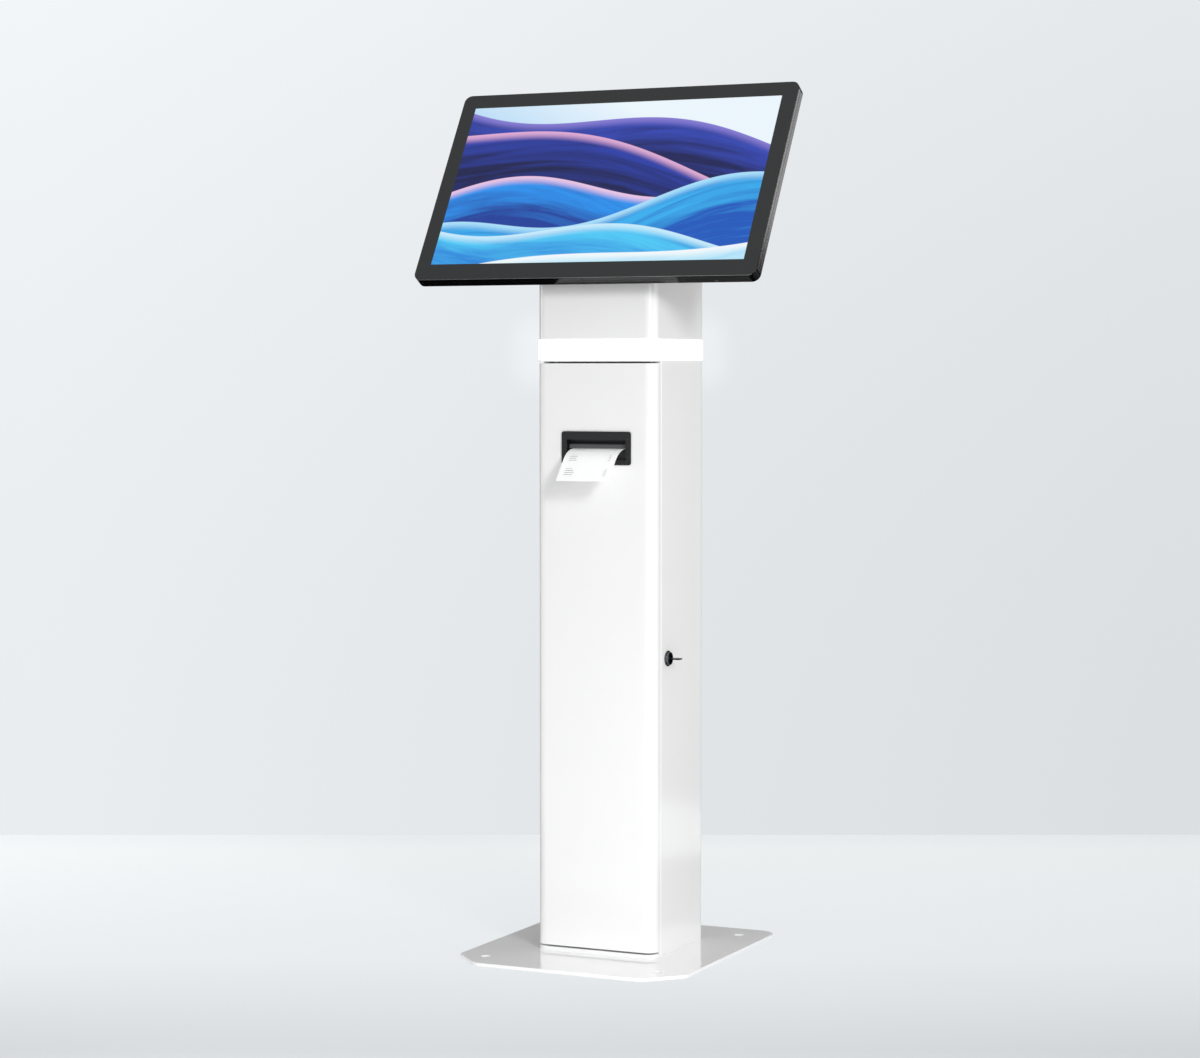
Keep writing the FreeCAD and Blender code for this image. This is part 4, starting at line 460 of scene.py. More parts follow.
def startColumnBlock(name, proud, low, high):
    # The column's outline with its rounded corners, as a block.
    front, back = column["front"] - proud, column["back"] + proud
    piece = startBox(name, around(0, column["half"] + proud), (front, back), (low, high))
    roundEdges(piece, lambda middle, way: upright(middle, way) and middle.y < 0, column["frontRound"] + proud, 12)
    roundEdges(piece, lambda middle, way: upright(middle, way) and middle.y > back - 1, column["backRound"] + proud)
    return piece


def makeRing(name, proud, wall, low, high):
    piece = startColumnBlock(name, proud, low, high)
    drop(piece, lambda middle, way: abs(way.z) > 0.9)
    sheetInwards(piece, wall)
    return piece


def makeGlow():
    # Opal acrylic of the collar, lit from inside: an even white that the eye sees as light.
    material, tree, shader = startMaterial("litOpalAcrylic", {"Roughness": 0.35, "Emission Strength": 1.8})
    place = addNode(tree, "TexCoord").outputs["Object"]
    cloud = addNode(tree, "TexNoise", {"Scale": 30.0, "Detail": 2.0}, {"Vector": place})
    tone = addNode(tree, "Mix", twoTones("#fafbff", "#ffffff"), {0: cloud})
    link(shader, {"Base Color": tone.outputs[2], "Emission Color": tone.outputs[2]})
    return material


def makeCap():
    through, middle = (sleeve["high"] - 5, sleeve["cap"] + 5), sleeve["cableY"]
    piece = startColumnBlock("sleeveCap", 0, sleeve["high"], sleeve["cap"])
    cutters = [startRod("cable", "z", through, (0, middle), sleeve["cableHole"], 64)]
    cutters += [startRod("screw", "z", through, (i * sleeve["screwX"], middle + j * sleeve["screwY"]),
                         sleeve["screwHole"], 24) for i, j in corners]
    carve(piece, cutters)
    finish(piece, "stand", "neck_cap", "whitePowderCoat", column["edge"])


makeColumnWalls()
makeServiceDoor()
materials["litOpalAcrylic"] = makeGlow()
finish(makeRing("litCollar", collar["proud"], collar["wall"], collar["low"], collar["high"]), "stand",
       "led_diffuser", "litOpalAcrylic", collar["edge"], 3)
finish(makeRing("neckSleeve", 0, column["sheet"], sleeve["low"], sleeve["high"]), "stand",
       "neck_shell", "whitePowderCoat", column["edge"])
makeCap()
print("column made")


# Display, built flat in its own frame: x across, y behind the glass, z up the glass

display = {"tilt": 31.0, "y": -35.2, "z": 1086.2, "halfWide": 260.0, "halfTall": 158.0, "corner": 11.0,
           "glass": 1.8, "frame": 9.0, "rim": 18.0, "bulge": 42.0, "wall": 2.5, "rimWall": 7.0, "edge": 0.5,
           "bulgeWide": 200.0, "bulgeTall": 105.0, "bulgeEndWide": 192.2, "bulgeEndTall": 97.2, "bulgeRound": 6.0,
           "screenWide": 238.0, "screenTall": 133.9, "screenUp": 1.0, "pinholeAt": (2.3, 6.0), "pinhole": 0.9,
           "buttonAt": (200.0, 12.25), "buttonHole": 2.75, "exitAt": (0, -79.0), "exitHole": 9.0,
           "ventZ": (66.0, 84.0), "ventPitch": 10.0, "ventHalf": 1.5, "ventRound": 1.2}
displayPlace = (Matrix.Translation((0, display["y"] * tiny, display["z"] * tiny))
                @ Matrix.Rotation(math.radians(-display["tilt"]), 4, "X"))
picture = {"skyLow": "#7cc6f4", "skyHigh": "#eef8ff", "glow": 0.95, "foldSize": (1.6, 9.0, 1.0), "foldDepth": 0.42,
           "fade": 0.36, "crest": 0.07, "crestStrength": 0.85, "seam": 0.002,
           "waves": (  # middle height, slope, swell, swells across, shift, fold slant, top tone, low tone, crest
               (0.41, -0.20, 0.10, 2.6, 0.4, 6.0, "#2c41b0", "#0a1252", "#8d7fd8"),
               (0.17, -0.22, 0.13, 2.1, 1.9, 9.0, "#2239a6", "#070f4a", "#f2b9dd"),
               (-0.03, 0.06, 0.12, 2.9, 3.3, -7.0, "#2090ee", "#123a9a", "#ffd0e6"),
               (-0.19, 0.16, 0.09, 3.4, 5.2, 8.0, "#35b4f4", "#0f56bd", "#b9e9ff"),
               (-0.36, -0.10, 0.08, 3.1, 0.9, -6.0, "#4ccaf8", "#1272d6", "#d8f4ff"),
               (-0.52, 0.12, 0.05, 2.4, 2.7, 5.0, "#bfeafc", "#5cc2f4", "#ffffff"))}


def makePicture():
    # What the liquid crystal panel shows: soft layered waves, measured in half widths of the screen.
    material, tree, shader = startMaterial("litScreenUnderGlass", {
        "Roughness": 0.12, "Specular IOR Level": 0.3, "Base Color": linearColour("#0a0b10"),
        "Emission Strength": picture["glow"]})
    size = display["screenWide"] * tiny
    flat = addNode(tree, "Mapping", {
        "vector_type": "TEXTURE", "Location": (0, display["y"] * tiny, display["z"] * tiny),
        "Rotation": (math.radians(-display["tilt"]), 0, 0), "Scale": (size, size, size)},
                   {"Vector": addNode(tree, "TexCoord").outputs["Object"]})
    axes = addNode(tree, "SeparateXYZ", None, {0: flat})
    across, up = axes.outputs[0], axes.outputs[2]

    # The sky is paler towards the top right.
    sky = addNode(tree, "Math", {"operation": "MULTIPLY_ADD", 1: 0.9, 2: 0.5}, {0: up})
    sky = addNode(tree, "Math", {"operation": "MULTIPLY_ADD", 1: 0.5}, {0: across, 2: sky})
    layers = addNode(tree, "Mix", twoTones(picture["skyLow"], picture["skyHigh"]), {0: sky}).outputs[2]
    for i, (middle, slope, swell, count, shift, slant, top, low, crest) in enumerate(picture["waves"]):
        wave = addNode(tree, "Math", {"operation": "MULTIPLY_ADD", 1: count, 2: shift}, {0: across})
        wave = addNode(tree, "Math", {"operation": "SINE"}, {0: wave})
        base = addNode(tree, "Math", {"operation": "MULTIPLY_ADD", 1: slope, 2: middle}, {0: across})
        wave = addNode(tree, "Math", {"operation": "MULTIPLY_ADD", 1: swell}, {0: wave, 2: base})
        under = addNode(tree, "Math", {"operation": "SUBTRACT"}, {0: wave, 1: up})
        # Folds run along the ridge, fine across it and long along it, and differ from wave to wave.
        run = addNode(tree, "Math", {"operation": "MULTIPLY_ADD", 1: slant}, {0: under, 2: across})
        folds = addNode(tree, "CombineXYZ", {2: i * 3.7}, {0: run, 1: under})
        folds = addNode(tree, "VectorMath", {"operation": "MULTIPLY", 1: picture["foldSize"]}, {0: folds})
        folds = addNode(tree, "TexNoise", {"Scale": 1.0, "Detail": 5.0, "Roughness": 0.62, "Distortion": 0.4},
                        {"Vector": folds})
        folds = addNode(tree, "MapRange", {"From Min": 0.32, "From Max": 0.68, "To Min": -picture["foldDepth"],
                                           "To Max": picture["foldDepth"]}, {"Value": folds})
        deep = addNode(tree, "MapRange", {"interpolation_type": "SMOOTHSTEP", "From Max": picture["fade"],
                                          "To Min": 0.06}, {"Value": under})
        tone = addNode(tree, "Math", {"operation": "ADD", "use_clamp": True}, {0: deep, 1: folds})
        body = addNode(tree, "Mix", twoTones(top, low), {0: tone})
        lip = addNode(tree, "MapRange", {"interpolation_type": "SMOOTHSTEP", "From Min": picture["crest"],
                                         "From Max": 0.0, "To Max": picture["crestStrength"]}, {"Value": under})
        body = addNode(tree, "Mix", {"data_type": "RGBA", 7: linearColour(crest)}, {0: lip, 6: body.outputs[2]})
        edge = addNode(tree, "MapRange", {"From Min": -picture["seam"], "From Max": picture["seam"]},
                       {"Value": under})
        layers = addNode(tree, "Mix", {"data_type": "RGBA"}, {0: edge, 6: layers, 7: body.outputs[2]}).outputs[2]
    link(shader, {"Emission Color": layers})
    return material


# Toughened glass printed black on its inner face and etched against glare: an even charcoal.
materials["printedGlass"] = makeSurface("printedGlass", {
    "colours": ("#222222", "#252525"), "patch": 200, "grain": 1.5, "roughness": (0.3, 0.36),
    "values": {"IOR": 1.52, "Specular IOR Level": 0.4}})
# The glass's ground and polished edge at top and bottom: painted grey, a painted highlight where it catches the
# light, while its sides are painted black.
materials["paintedGlassEdgeHighlight"] = makeSurface("paintedGlassEdgeHighlight", {
    "colours": ("#6a6c6e", "#747678"), "patch": 30, "grain": 1.5, "roughness": (0.15, 0.25)})
materials["litScreenUnderGlass"] = makePicture()


def startDisplayBlock(name, front, back):
    piece = startBox(name, around(0, display["halfWide"]), (front, back), around(0, display["halfTall"]))
    roundEdges(piece, frontToBack, display["corner"], 10)
    return piece


def cutAround(piece, wide, tall, up=0):
    for side in (-1, 1):
        cutAcross(piece, (side * wide, 0, 0), (1, 0, 0))
        cutAcross(piece, (0, 0, up + side * tall), (0, 0, 1))


def makeScreenGlass():
    up = display["screenUp"]
    piece = startDisplayBlock("screenGlass", 0, display["glass"])
    cutAround(piece, display["screenWide"], display["screenTall"], up)
    coat(piece, "printedGlass")
    paintFaces(piece, "litScreenUnderGlass", lambda middle, way: way.y < -0.9 and abs(middle.x) < 1
               and abs(middle.z - up) < 1)
    # One glass edge all round: the top and bottom get the painted highlight, the sides a painted black.
    paintFaces(piece, "paintedGlassEdgeHighlight", lambda middle, way: abs(way.z) > 0.9)
    paintFaces(piece, "pianoLacquer", lambda middle, way: abs(way.y) < 0.1 and abs(way.z) <= 0.9)
    finish(leanBack(piece), "display", "cover_glass", None, display["edge"], 3)


def makeFrontRim():
    wide, tall, wall = display["halfWide"], display["halfTall"], display["rimWall"]
    piece = startDisplayBlock("frontRim", display["glass"], display["frame"])
    carve(piece, [startBox("inside", around(0, wide - wall), (0, 20), around(0, tall - wall)),
                  startRod("pinhole", "z", (-tall - 1, -tall + 2), display["pinholeAt"], display["pinhole"], 20)])
    coat(piece, "pianoLacquer")
    paintFaces(piece, "satinLacquer", lambda middle, way: abs(way.x) > 0.9 and abs(middle.x) > wide - 1)
    finish(leanBack(piece), "display", "front_frame", None, display["edge"], 3)


def makeRearHousing():
    wide, tall, rim, bulge = display["halfWide"], display["halfTall"], display["rim"], display["bulge"]
    corner, endWide, endTall = display["corner"], display["bulgeEndWide"], display["bulgeEndTall"]
    piece = startDisplayBlock("rearHousing", display["frame"], rim)
    cutAround(piece, display["bulgeWide"], display["bulgeTall"])
    pick(piece, lambda middle, way: way.y > 0.9 and abs(middle.x) < 1 and abs(middle.z) < 1)
    grow((0, bulge - rim, 0))
    bpy.ops.transform.resize(value=(endWide / display["bulgeWide"], 1, endTall / display["bulgeTall"]),
                             center_override=(0, bulge * tiny, 0))
    roundEdges(piece, lambda middle, way: middle.y > bulge - 0.1, display["bulgeRound"], 5)
    drop(piece, lambda middle, way: way.y < -0.9)
    sheetInwards(piece, display["wall"])
    through = (bulge - 7, bulge + 8)
    cutters = [startRod("exit", "y", through, display["exitAt"], display["exitHole"], 40),
               startRod("button", "z", (-tall - 3, -tall + 8), display["buttonAt"], display["buttonHole"], 32)]
    cutters += [startSlot("vent", around(i * display["ventPitch"], display["ventHalf"]), through, display["ventZ"],
                          display["ventRound"]) for i in range(-9, 10)]
    carve(piece, cutters)
    coat(piece, "charcoalAbs")
    paintFaces(piece, "pianoLacquer", lambda middle, way: abs(way.y) < 0.1 and middle.y < rim
               and (abs(middle.x) > wide - corner or abs(middle.z) > tall - corner))
    paintFaces(piece, "satinLacquer", lambda middle, way: abs(way.x) > 0.9 and middle.y < rim
               and abs(middle.x) > wide - 1)
    finish(leanBack(piece), "display", "rear_cover", None, display["edge"], 3)


makeScreenGlass()
makeFrontRim()
makeRearHousing()
print("display made")


# Receipt printer

printer = {"middle": 3.1, "height": 715.25, "halfWide": 53.0, "halfTall": 23.25, "face": -70.0, "skin": -68.0,
           "bodyHalf": 49.0, "bodyTall": 19.5, "back": -58.0, "corner": 3.5, "recessHalf": 45.0,
           "recessLow": 698.45, "recessHigh": 726.95, "recessLip": 721.75, "recessBack": -60.0,
           "slot": (712.75, 715.35), "slotHalf": 43.0, "lensAt": (51.9, 727.75), "lensHole": 1.15, "edge": 0.35}


def makeBezel():
    middle, height, face, skin = printer["middle"], printer["height"], printer["face"], printer["skin"]
    low, high, end = printer["recessLow"], printer["recessHigh"], printer["recessBack"]
    piece = startBox("printerBezel", around(middle, printer["halfWide"]), (face, skin),
                     around(height, printer["halfTall"]))
    roundEdges(piece, frontToBack, printer["corner"], 6)
    for side in (-1, 1):
        for half in (printer["bodyHalf"], printer["recessHalf"]):
            cutAcross(piece, (middle + side * half, 0, 0), (1, 0, 0))
        cutAcross(piece, (0, 0, height + side * printer["bodyTall"]), (0, 0, 1))
    for level in (low, high):
        cutAcross(piece, (0, 0, level), (0, 0, 1))
    pick(piece, lambda spot, way: way.y > 0.9 and abs(spot.x - middle) < printer["bodyHalf"]
         and abs(spot.z - height) < printer["bodyTall"])
    grow((0, printer["back"] - skin, 0))
    pick(piece, lambda spot, way: way.y < -0.9 and abs(spot.x - middle) < printer["recessHalf"]
         and low < spot.z < high)
    grow((0, end - face, 0))
    # The recess' ceiling slopes down to the slot.
    pick(piece, lambda spot, way: abs(way.x) > 0.99 and abs(spot.y - end) < 0.1 and abs(spot.z - high) < 0.1,
         "EDGE")
    bpy.ops.transform.translate(value=(0, 0, (printer["recessLip"] - high) * tiny))
    carve(piece, [startBox("slot", around(middle, printer["slotHalf"]), (end - 1, printer["back"] + 1),
                           printer["slot"]),
                  startRod("eye", "y", (face - 1, face + 1.5), printer["lensAt"], printer["lensHole"], 20)])
    finish(piece, "door", "printer_bezel", "blackNylon", printer["edge"])


receipt = {"half": 40.0, "middle": 3.1, "level": 714.15, "start": -8.0, "bend": -58.0, "radius": 44.0,
           "angle": 50.0, "tail": 36.0, "thick": 0.25, "rowPitch": 3.6, "groupPitch": 25.2, "groupShift": -0.06,
           # The last strength below is the paper's painted glow, painted light that brightens it.
           "groupShare": 0.57, "ink": 0.95, "paintedGlow": 0.16,
           "dashes": ((8.0, 9.0, 1), (72.0, 3.0, -1))}  # start, shortest length, way that they grow


def makeReceiptPaper():
    # Thermal paper: bright white, faintly smooth, with the grey dots of a print head. Its emission is a painted
    # glow, painted light that lifts it brighter than the lamps make it, more than its optical brightener would.
    material, tree, shader = startMaterial("thermalPaper", {
        "Roughness": 0.55, "Emission Color": (1, 1, 1, 1), "Emission Strength": receipt["paintedGlow"]})
    axes = addNode(tree, "SeparateXYZ", None, {0: addNode(tree, "UVMap", {"uv_map": "strip"})})
    across, along = axes.outputs[0], axes.outputs[1]  # both in millimetres
    # Rows in groups, each row a long dash at the left and a short one at the right, of uneven length.
    rows = addNode(tree, "Math", {"operation": "DIVIDE", 1: receipt["rowPitch"]}, {0: along})
    inRow = addNode(tree, "Math", {"operation": "COMPARE", 1: 0.5, 2: 0.15},
                    {0: addNode(tree, "Math", {"operation": "FRACT"}, {0: rows})})
    groups = addNode(tree, "Math", {"operation": "MULTIPLY_ADD", 1: 1 / receipt["groupPitch"],
                                    2: receipt["groupShift"]}, {0: along})
    inGroup = addNode(tree, "Math", {"operation": "LESS_THAN", 1: receipt["groupShare"]},
                      {0: addNode(tree, "Math", {"operation": "FRACT"}, {0: groups})})
    rowNumber = addNode(tree, "Math", {"operation": "FLOOR"}, {0: rows})
    chance = addNode(tree, "TexWhiteNoise", {"noise_dimensions": "1D"}, {"W": rowNumber}).outputs["Value"]
    blocks = []
    for start, reach, sign in receipt["dashes"]:
        past = addNode(tree, "Math", {"operation": "MULTIPLY_ADD", 1: sign, 2: -sign * start}, {0: across})
        share = addNode(tree, "Math", {"operation": "MULTIPLY_ADD", 1: reach, 2: reach}, {0: chance})
        share = addNode(tree, "Math", {"operation": "DIVIDE"}, {0: past, 1: share})
        blocks.append(addNode(tree, "Math", {"operation": "COMPARE", 1: 0.5, 2: 0.5}, {0: share}))
    ink = addNode(tree, "Math", {"operation": "ADD"}, {0: blocks[0], 1: blocks[1]})
    for part in (inRow, inGroup):
        ink = addNode(tree, "Math", {"operation": "MULTIPLY"}, {0: ink, 1: part})
    ink = addNode(tree, "Math", {"operation": "MULTIPLY", 1: receipt["ink"]}, {0: ink})
    fibres = addNode(tree, "TexNoise", {"Scale": 400.0, "Detail": 4.0},
                     {"Vector": addNode(tree, "TexCoord").outputs["Object"]})
    paper = addNode(tree, "Mix", twoTones("#fafbfb", "#ffffff"), {0: fibres}).outputs[2]
    colour = addNode(tree, "Mix", {"data_type": "RGBA", 7: linearColour("#83868a")}, {0: ink, 6: paper}).outputs[2]
    relief = addNode(tree, "Bump", {"Strength": 0.1, "Distance": 0.05 * tiny}, {"Height": fibres})
    link(shader, {"Base Color": colour, "Normal": relief})
    return material


def makeReceipt():
    # A grid along the paper's way: flat, rolled over the bend, then straight down its tail.
    level, radius = receipt["level"], receipt["radius"]
    flat = receipt["start"] - receipt["bend"]
    arc = radius * math.radians(receipt["angle"])
    total = flat + arc + receipt["tail"]
    wake()
    bpy.ops.mesh.primitive_grid_add(x_subdivisions=16, y_subdivisions=90, size=1)
    piece = settle("receiptStrip")
    layer = piece.data.uv_layers.new(name="strip")
    for corner in piece.data.loops:
        spot = piece.data.vertices[corner.vertex_index].co
        layer.data[corner.index].uv = ((spot.x + 0.5) * 2 * receipt["half"], (0.5 - spot.y) * total)
    for spot in piece.data.vertices:
        share, run = spot.co.x * 2, (0.5 - spot.co.y) * total
        turn, past = min(max(run - flat, 0), arc) / radius, max(run - flat - arc, 0)
        y = receipt["start"] - min(run, flat) - radius * math.sin(turn) - past * math.cos(turn)
        z = level - radius * (1 - math.cos(turn)) - past * math.sin(turn)
        spot.co = Vector((receipt["middle"] + share * receipt["half"], y, z)) * tiny
    modify(piece, "SOLIDIFY", thickness=receipt["thick"] * tiny, offset=0)
    finish(piece, "door", "receipt_paper", "thermalPaper", 0)


materials["thermalPaper"] = makeReceiptPaper()
makeBezel()
makeReceipt()
print("printer made")


# Lock

lock = {"at": (-22.0, 421.3), "wall": 91.0, "flange": 11.0, "flangeThick": 2.0, "boss": 9.0, "face": 96.0,
        "bore": 5.55, "barrel": 9.4, "end": 70.0, "edge": 0.5}


def makeLockHousing():
    wall, front, flange = lock["wall"], lock["wall"] + lock["flangeThick"], lock["flange"]
    piece = startRod("lockHousing", "x", (wall, front), lock["at"], flange, 64)
    for side, radius, move in ((1, lock["boss"], lock["face"] - front), (-1, lock["barrel"], lock["end"] - wall)):
        pick(piece, lambda middle, way: way.x * side > 0.9)
        bpy.ops.mesh.inset(thickness=(flange - radius) * tiny)
        grow((move, 0, 0))
    carve(piece, [startRod("bore", "x", (lock["end"] - 10, lock["face"] + 14), lock["at"], lock["bore"])])
    finish(piece, "stand", "lock_housing", "blackChrome", lock["edge"], 3)


makeLockHousing()
print("lock made")


# Inside: paper roll, power supply, small computer, board, inlet

roll = {"span": (-36.7, 42.9), "at": (-8.0, 685.95), "radius": 28.0, "tube": 8.6, "bore": 6.2, "tubeIn": 0.6,
        "ringPitch": 0.9, "edge": 0.25}
supply = {"half": 55.0, "front": 59.0, "back": 95.0, "low": 150.0, "high": 300.0, "round": 3.0, "edge": 0.4,
          "slotHalf": 1.6, "slotPitch": 9.0, "slotDeep": 2.5, "slotRound": 1.5,
          "slotRows": ((172.0, 200.0), (210.0, 238.0), (248.0, 276.0)),
          "blockIn": (10.0, 6.0, 8.0), "blockTall": 12.0, "bayPitch": 11.0, "bayHalf": 4.2, "bayDeep": 16.0,
          "bayLow": 4.0, "screw": 3.0, "screwIn": 11.5, "screwHeights": (8.0, 3.0), "driveHalf": 0.4,
          "driveDeep": 1.0}
computer = {"half": 60.0, "front": 61.0, "back": 95.0, "low": 350.0, "high": 480.0, "round": 9.0, "edge": 0.5,
            "grooves": 10, "grooveLow": 36.0, "groovePitch": 7.0, "grooveHalf": 1.2, "grooveWide": 42.0,
            "grooveDeep": 1.6, "buttonAt": (44.0, 366.0), "button": 4.6, "dish": 6.0, "dishDeep": 0.8,
            "ports": (-44.0, -22.0, 0.0, 22.0), "portWide": 14.0, "portY": (8.0, 20.0), "portTall": 3.0,
            "portWall": 1.2}
connectors = {"boardTop": 27.7, "bladeX": 8.3, "bladeY": (89.6, 99.4), "bladeZ": (60.0, 4.5), "wellFloor": 90.6,
              "boardEdge": 0.2, "inletEdge": 0.4}


def makeWoundPaper():
    # Thermal paper wound tight: white, with fine grey rings on the roll's ends, drawn 0.9 mm apart.
    material, tree, shader = startMaterial("woundPaper", {"Roughness": 0.6})
    spot = addNode(tree, "TexCoord").outputs["Object"]
    middle = (0, roll["at"][0] * tiny, roll["at"][1] * tiny)
    for operation, amount in (("SUBTRACT", middle), ("MULTIPLY", (0, 1, 1))):
        spot = addNode(tree, "VectorMath", {"operation": operation, 1: amount}, {0: spot})
    radius = addNode(tree, "VectorMath", {"operation": "LENGTH"}, {0: spot}).outputs["Value"]
    rings = addNode(tree, "Math", {"operation": "MULTIPLY", 1: math.tau / (roll["ringPitch"] * tiny)}, {0: radius})
    rings = addNode(tree, "Math", {"operation": "SINE"}, {0: rings})
    rings = addNode(tree, "MapRange", {"From Min": -1.0}, {"Value": rings})
    tone = addNode(tree, "Mix", twoTones("#d9dadb", "#fbfbfb"), {0: rings})
    relief = addNode(tree, "Bump", {"Strength": 0.2, "Distance": 0.05 * tiny}, {"Height": rings})
    link(shader, {"Base Color": tone.outputs[2], "Normal": relief})
    return material


def makePaperRoll():
    low, high = roll["span"]
    through, inset = (low - 1, high + 1), roll["tubeIn"]
    piece = startRod("paperRoll", "x", roll["span"], roll["at"], roll["radius"], 96)
    carve(piece, [startRod("hollow", "x", through, roll["at"], roll["tube"], 64)])
    coat(piece, "woundPaper")
    tube = startRod("tube", "x", (low + inset, high - inset), roll["at"], roll["tube"], 64)
    carve(tube, [startRod("bore", "x", through, roll["at"], roll["bore"], 64)])
    coat(tube, "kraftBoard")
    finish(joinTo(piece, [tube]), "paper_roll", "paper_roll", None, roll["edge"])


def makePowerSupply():
    half, front, back, low = supply["half"], supply["front"], supply["back"], supply["low"]
    piece = startBox("powerSupply", around(0, half), (front, back), (low, supply["high"]))
    roundEdges(piece, lambda middle, way: upright(middle, way) and middle.y < front + 1, supply["round"], 4)
    carve(piece, [startSlot("slot", around(i * supply["slotPitch"], supply["slotHalf"]),
                            (front - 1, front + supply["slotDeep"]), row, supply["slotRound"])
                  for row in supply["slotRows"] for i in range(-5, 6)])
    coat(piece, "anodisedAluminium")
    # The terminal block under it: a bay and a slotted screw for each wire.
    side, fore, aft = supply["blockIn"]
    foot, bays = low - supply["blockTall"], [i * supply["bayPitch"] for i in range(-3, 4)]
    block = startBox("terminals", around(0, half - side), (front + fore, back - aft), (foot, low))
    carve(block, [startBox("bay", around(x, supply["bayHalf"]), (front + fore - 1, front + supply["bayDeep"]),
                           (foot - 1, low - supply["bayLow"])) for x in bays])
    coat(block, "blackNylon")
    head, neck = [low - height for height in supply["screwHeights"]]
    middle, others = front + supply["screwIn"], [block]
    for x in bays:
        screw = startRod("screw", "z", (head, neck), (x, middle), supply["screw"], 20)
        carve(screw, [startBox("drive", around(x, supply["screw"] + 1), around(middle, supply["driveHalf"]),
                               (head - 1, head + supply["driveDeep"]))])
        coat(screw, "zincPlate")
        others.append(screw)
    finish(joinTo(piece, others), "stand", "power_supply", None, supply["edge"])


def makeComputer():
    front, low, wall, dish = computer["front"], computer["low"], computer["portWall"], computer["dishDeep"]
    piece = startBox("smallComputer", around(0, computer["half"]), (front, computer["back"]),
                     (low, computer["high"]))
    roundEdges(piece, frontToBack, computer["round"], 6)
    heights = [low + computer["grooveLow"] + i * computer["groovePitch"] for i in range(computer["grooves"])]
    carve(piece, [startBox("groove", around(0, computer["grooveWide"]), (front - 1, front + computer["grooveDeep"]),
                           around(height, computer["grooveHalf"])) for height in heights]
          + [startRod("dish", "y", (front - 1, front + dish), computer["buttonAt"], computer["dish"], 32)])
    coat(piece, "blackPowderCoat")
    others = []
    near, far = [front + depth for depth in computer["portY"]]
    for left in computer["ports"]:
        right = left + computer["portWide"]
        port = startBox("port", (left, right), (near, far), (low - computer["portTall"], low))
        carve(port, [startBox("mouth", (left + wall, right - wall), (near + wall, far - wall),
                              (low - computer["portTall"] - 1, low - 0.5))])
        coat(port, "groundStainless")
        others.append(port)
    button = startRod("button", "y", (front + 0.1, front + dish), computer["buttonAt"], computer["button"], 32)
    coat(button, "anodisedAluminium")
    finish(joinTo(piece, others + [button]), "stand", "mini_computer", None, computer["edge"])


def makeConnectors():
    # The board's plugs stand up from it, and the inlet's blades stand in its well.
    board = softCopy("printerBoard", "printer_board")
    coat(board, "solderMask")
    paintFaces(board, "blackNylon", lambda middle, way: middle.y > connectors["boardTop"])
    finish(board, "door", "printer_board", None, connectors["boardEdge"])
    inlet = softCopy("inletSocket", "power_inlet")
    coat(inlet, "blackNylon")
    (near, far), (height, tall) = connectors["bladeY"], connectors["bladeZ"]
    paintFaces(inlet, "nickelPlate", lambda middle, way:
               near < middle.y < far and abs(middle.x) < connectors["bladeX"] and abs(middle.z - height) < tall
               and not (way.y > 0.9 and middle.y < connectors["wellFloor"]))
    finish(inlet, "stand", "power_inlet", None, connectors["inletEdge"])


# Grey board tube inside the roll: matt, fibrous.
materials["kraftBoard"] = makeSurface("kraftBoard", {
    "colours": ("#8f7d66", "#a08e77"), "patch": 4, "grain": 0.5, "roughness": (0.8, 0.9),
    "bump": 0.02, "relief": 0.4})
materials["woundPaper"] = makeWoundPaper()
makePaperRoll()
makePowerSupply()
makeComputer()
makeConnectors()
print("inner parts made")


# Screws with hexagon sockets

sockets = (  # new name, node, body, axis, half width across corners, leans with the display, span and place
    ("bracketScrews", "bracket_screws", "stand", "z", 2.9, False,
     [((959.2, 963), (i * 34.0, 14.5 + j * 32.0)) for i, j in corners]),
    ("pivotBolts", "pivot_fasteners", "stand", "x", 4.6, False,
     [((48.2, 53), (14.5, 1033.0)), ((-53, -48.2), (14.5, 1033.0))]),
    ("mountScrews", "vesa_screws", "display", "y", 1.8, True,
     [((45.5, 49), (i * 50.0, j * 50.0)) for i, j in corners]),
    ("housingScrews", "housing_screws", "display", "y", 1.3, True,
     [((18.7, 21), (i * 170.0, j * 154.5)) for i in (-1, 0, 1) for j in (-1, 1)]
     + [((18.7, 21), (i * 256.5, 0.0)) for i in (-1, 1)]))
for name, node, body, axis, radius, leans, places in sockets:
    piece = softCopy(name, node)
    cutters = [startRod("socket", axis, span, at, radius, 6) for span, at in places]
    carve(piece, [leanBack(cutter) for cutter in cutters] if leans else cutters)
    finish(piece, body, node, "blackPowderCoat", 0.3)
print("screws made")


# Softened copies of CAD nodes whose main shape is right

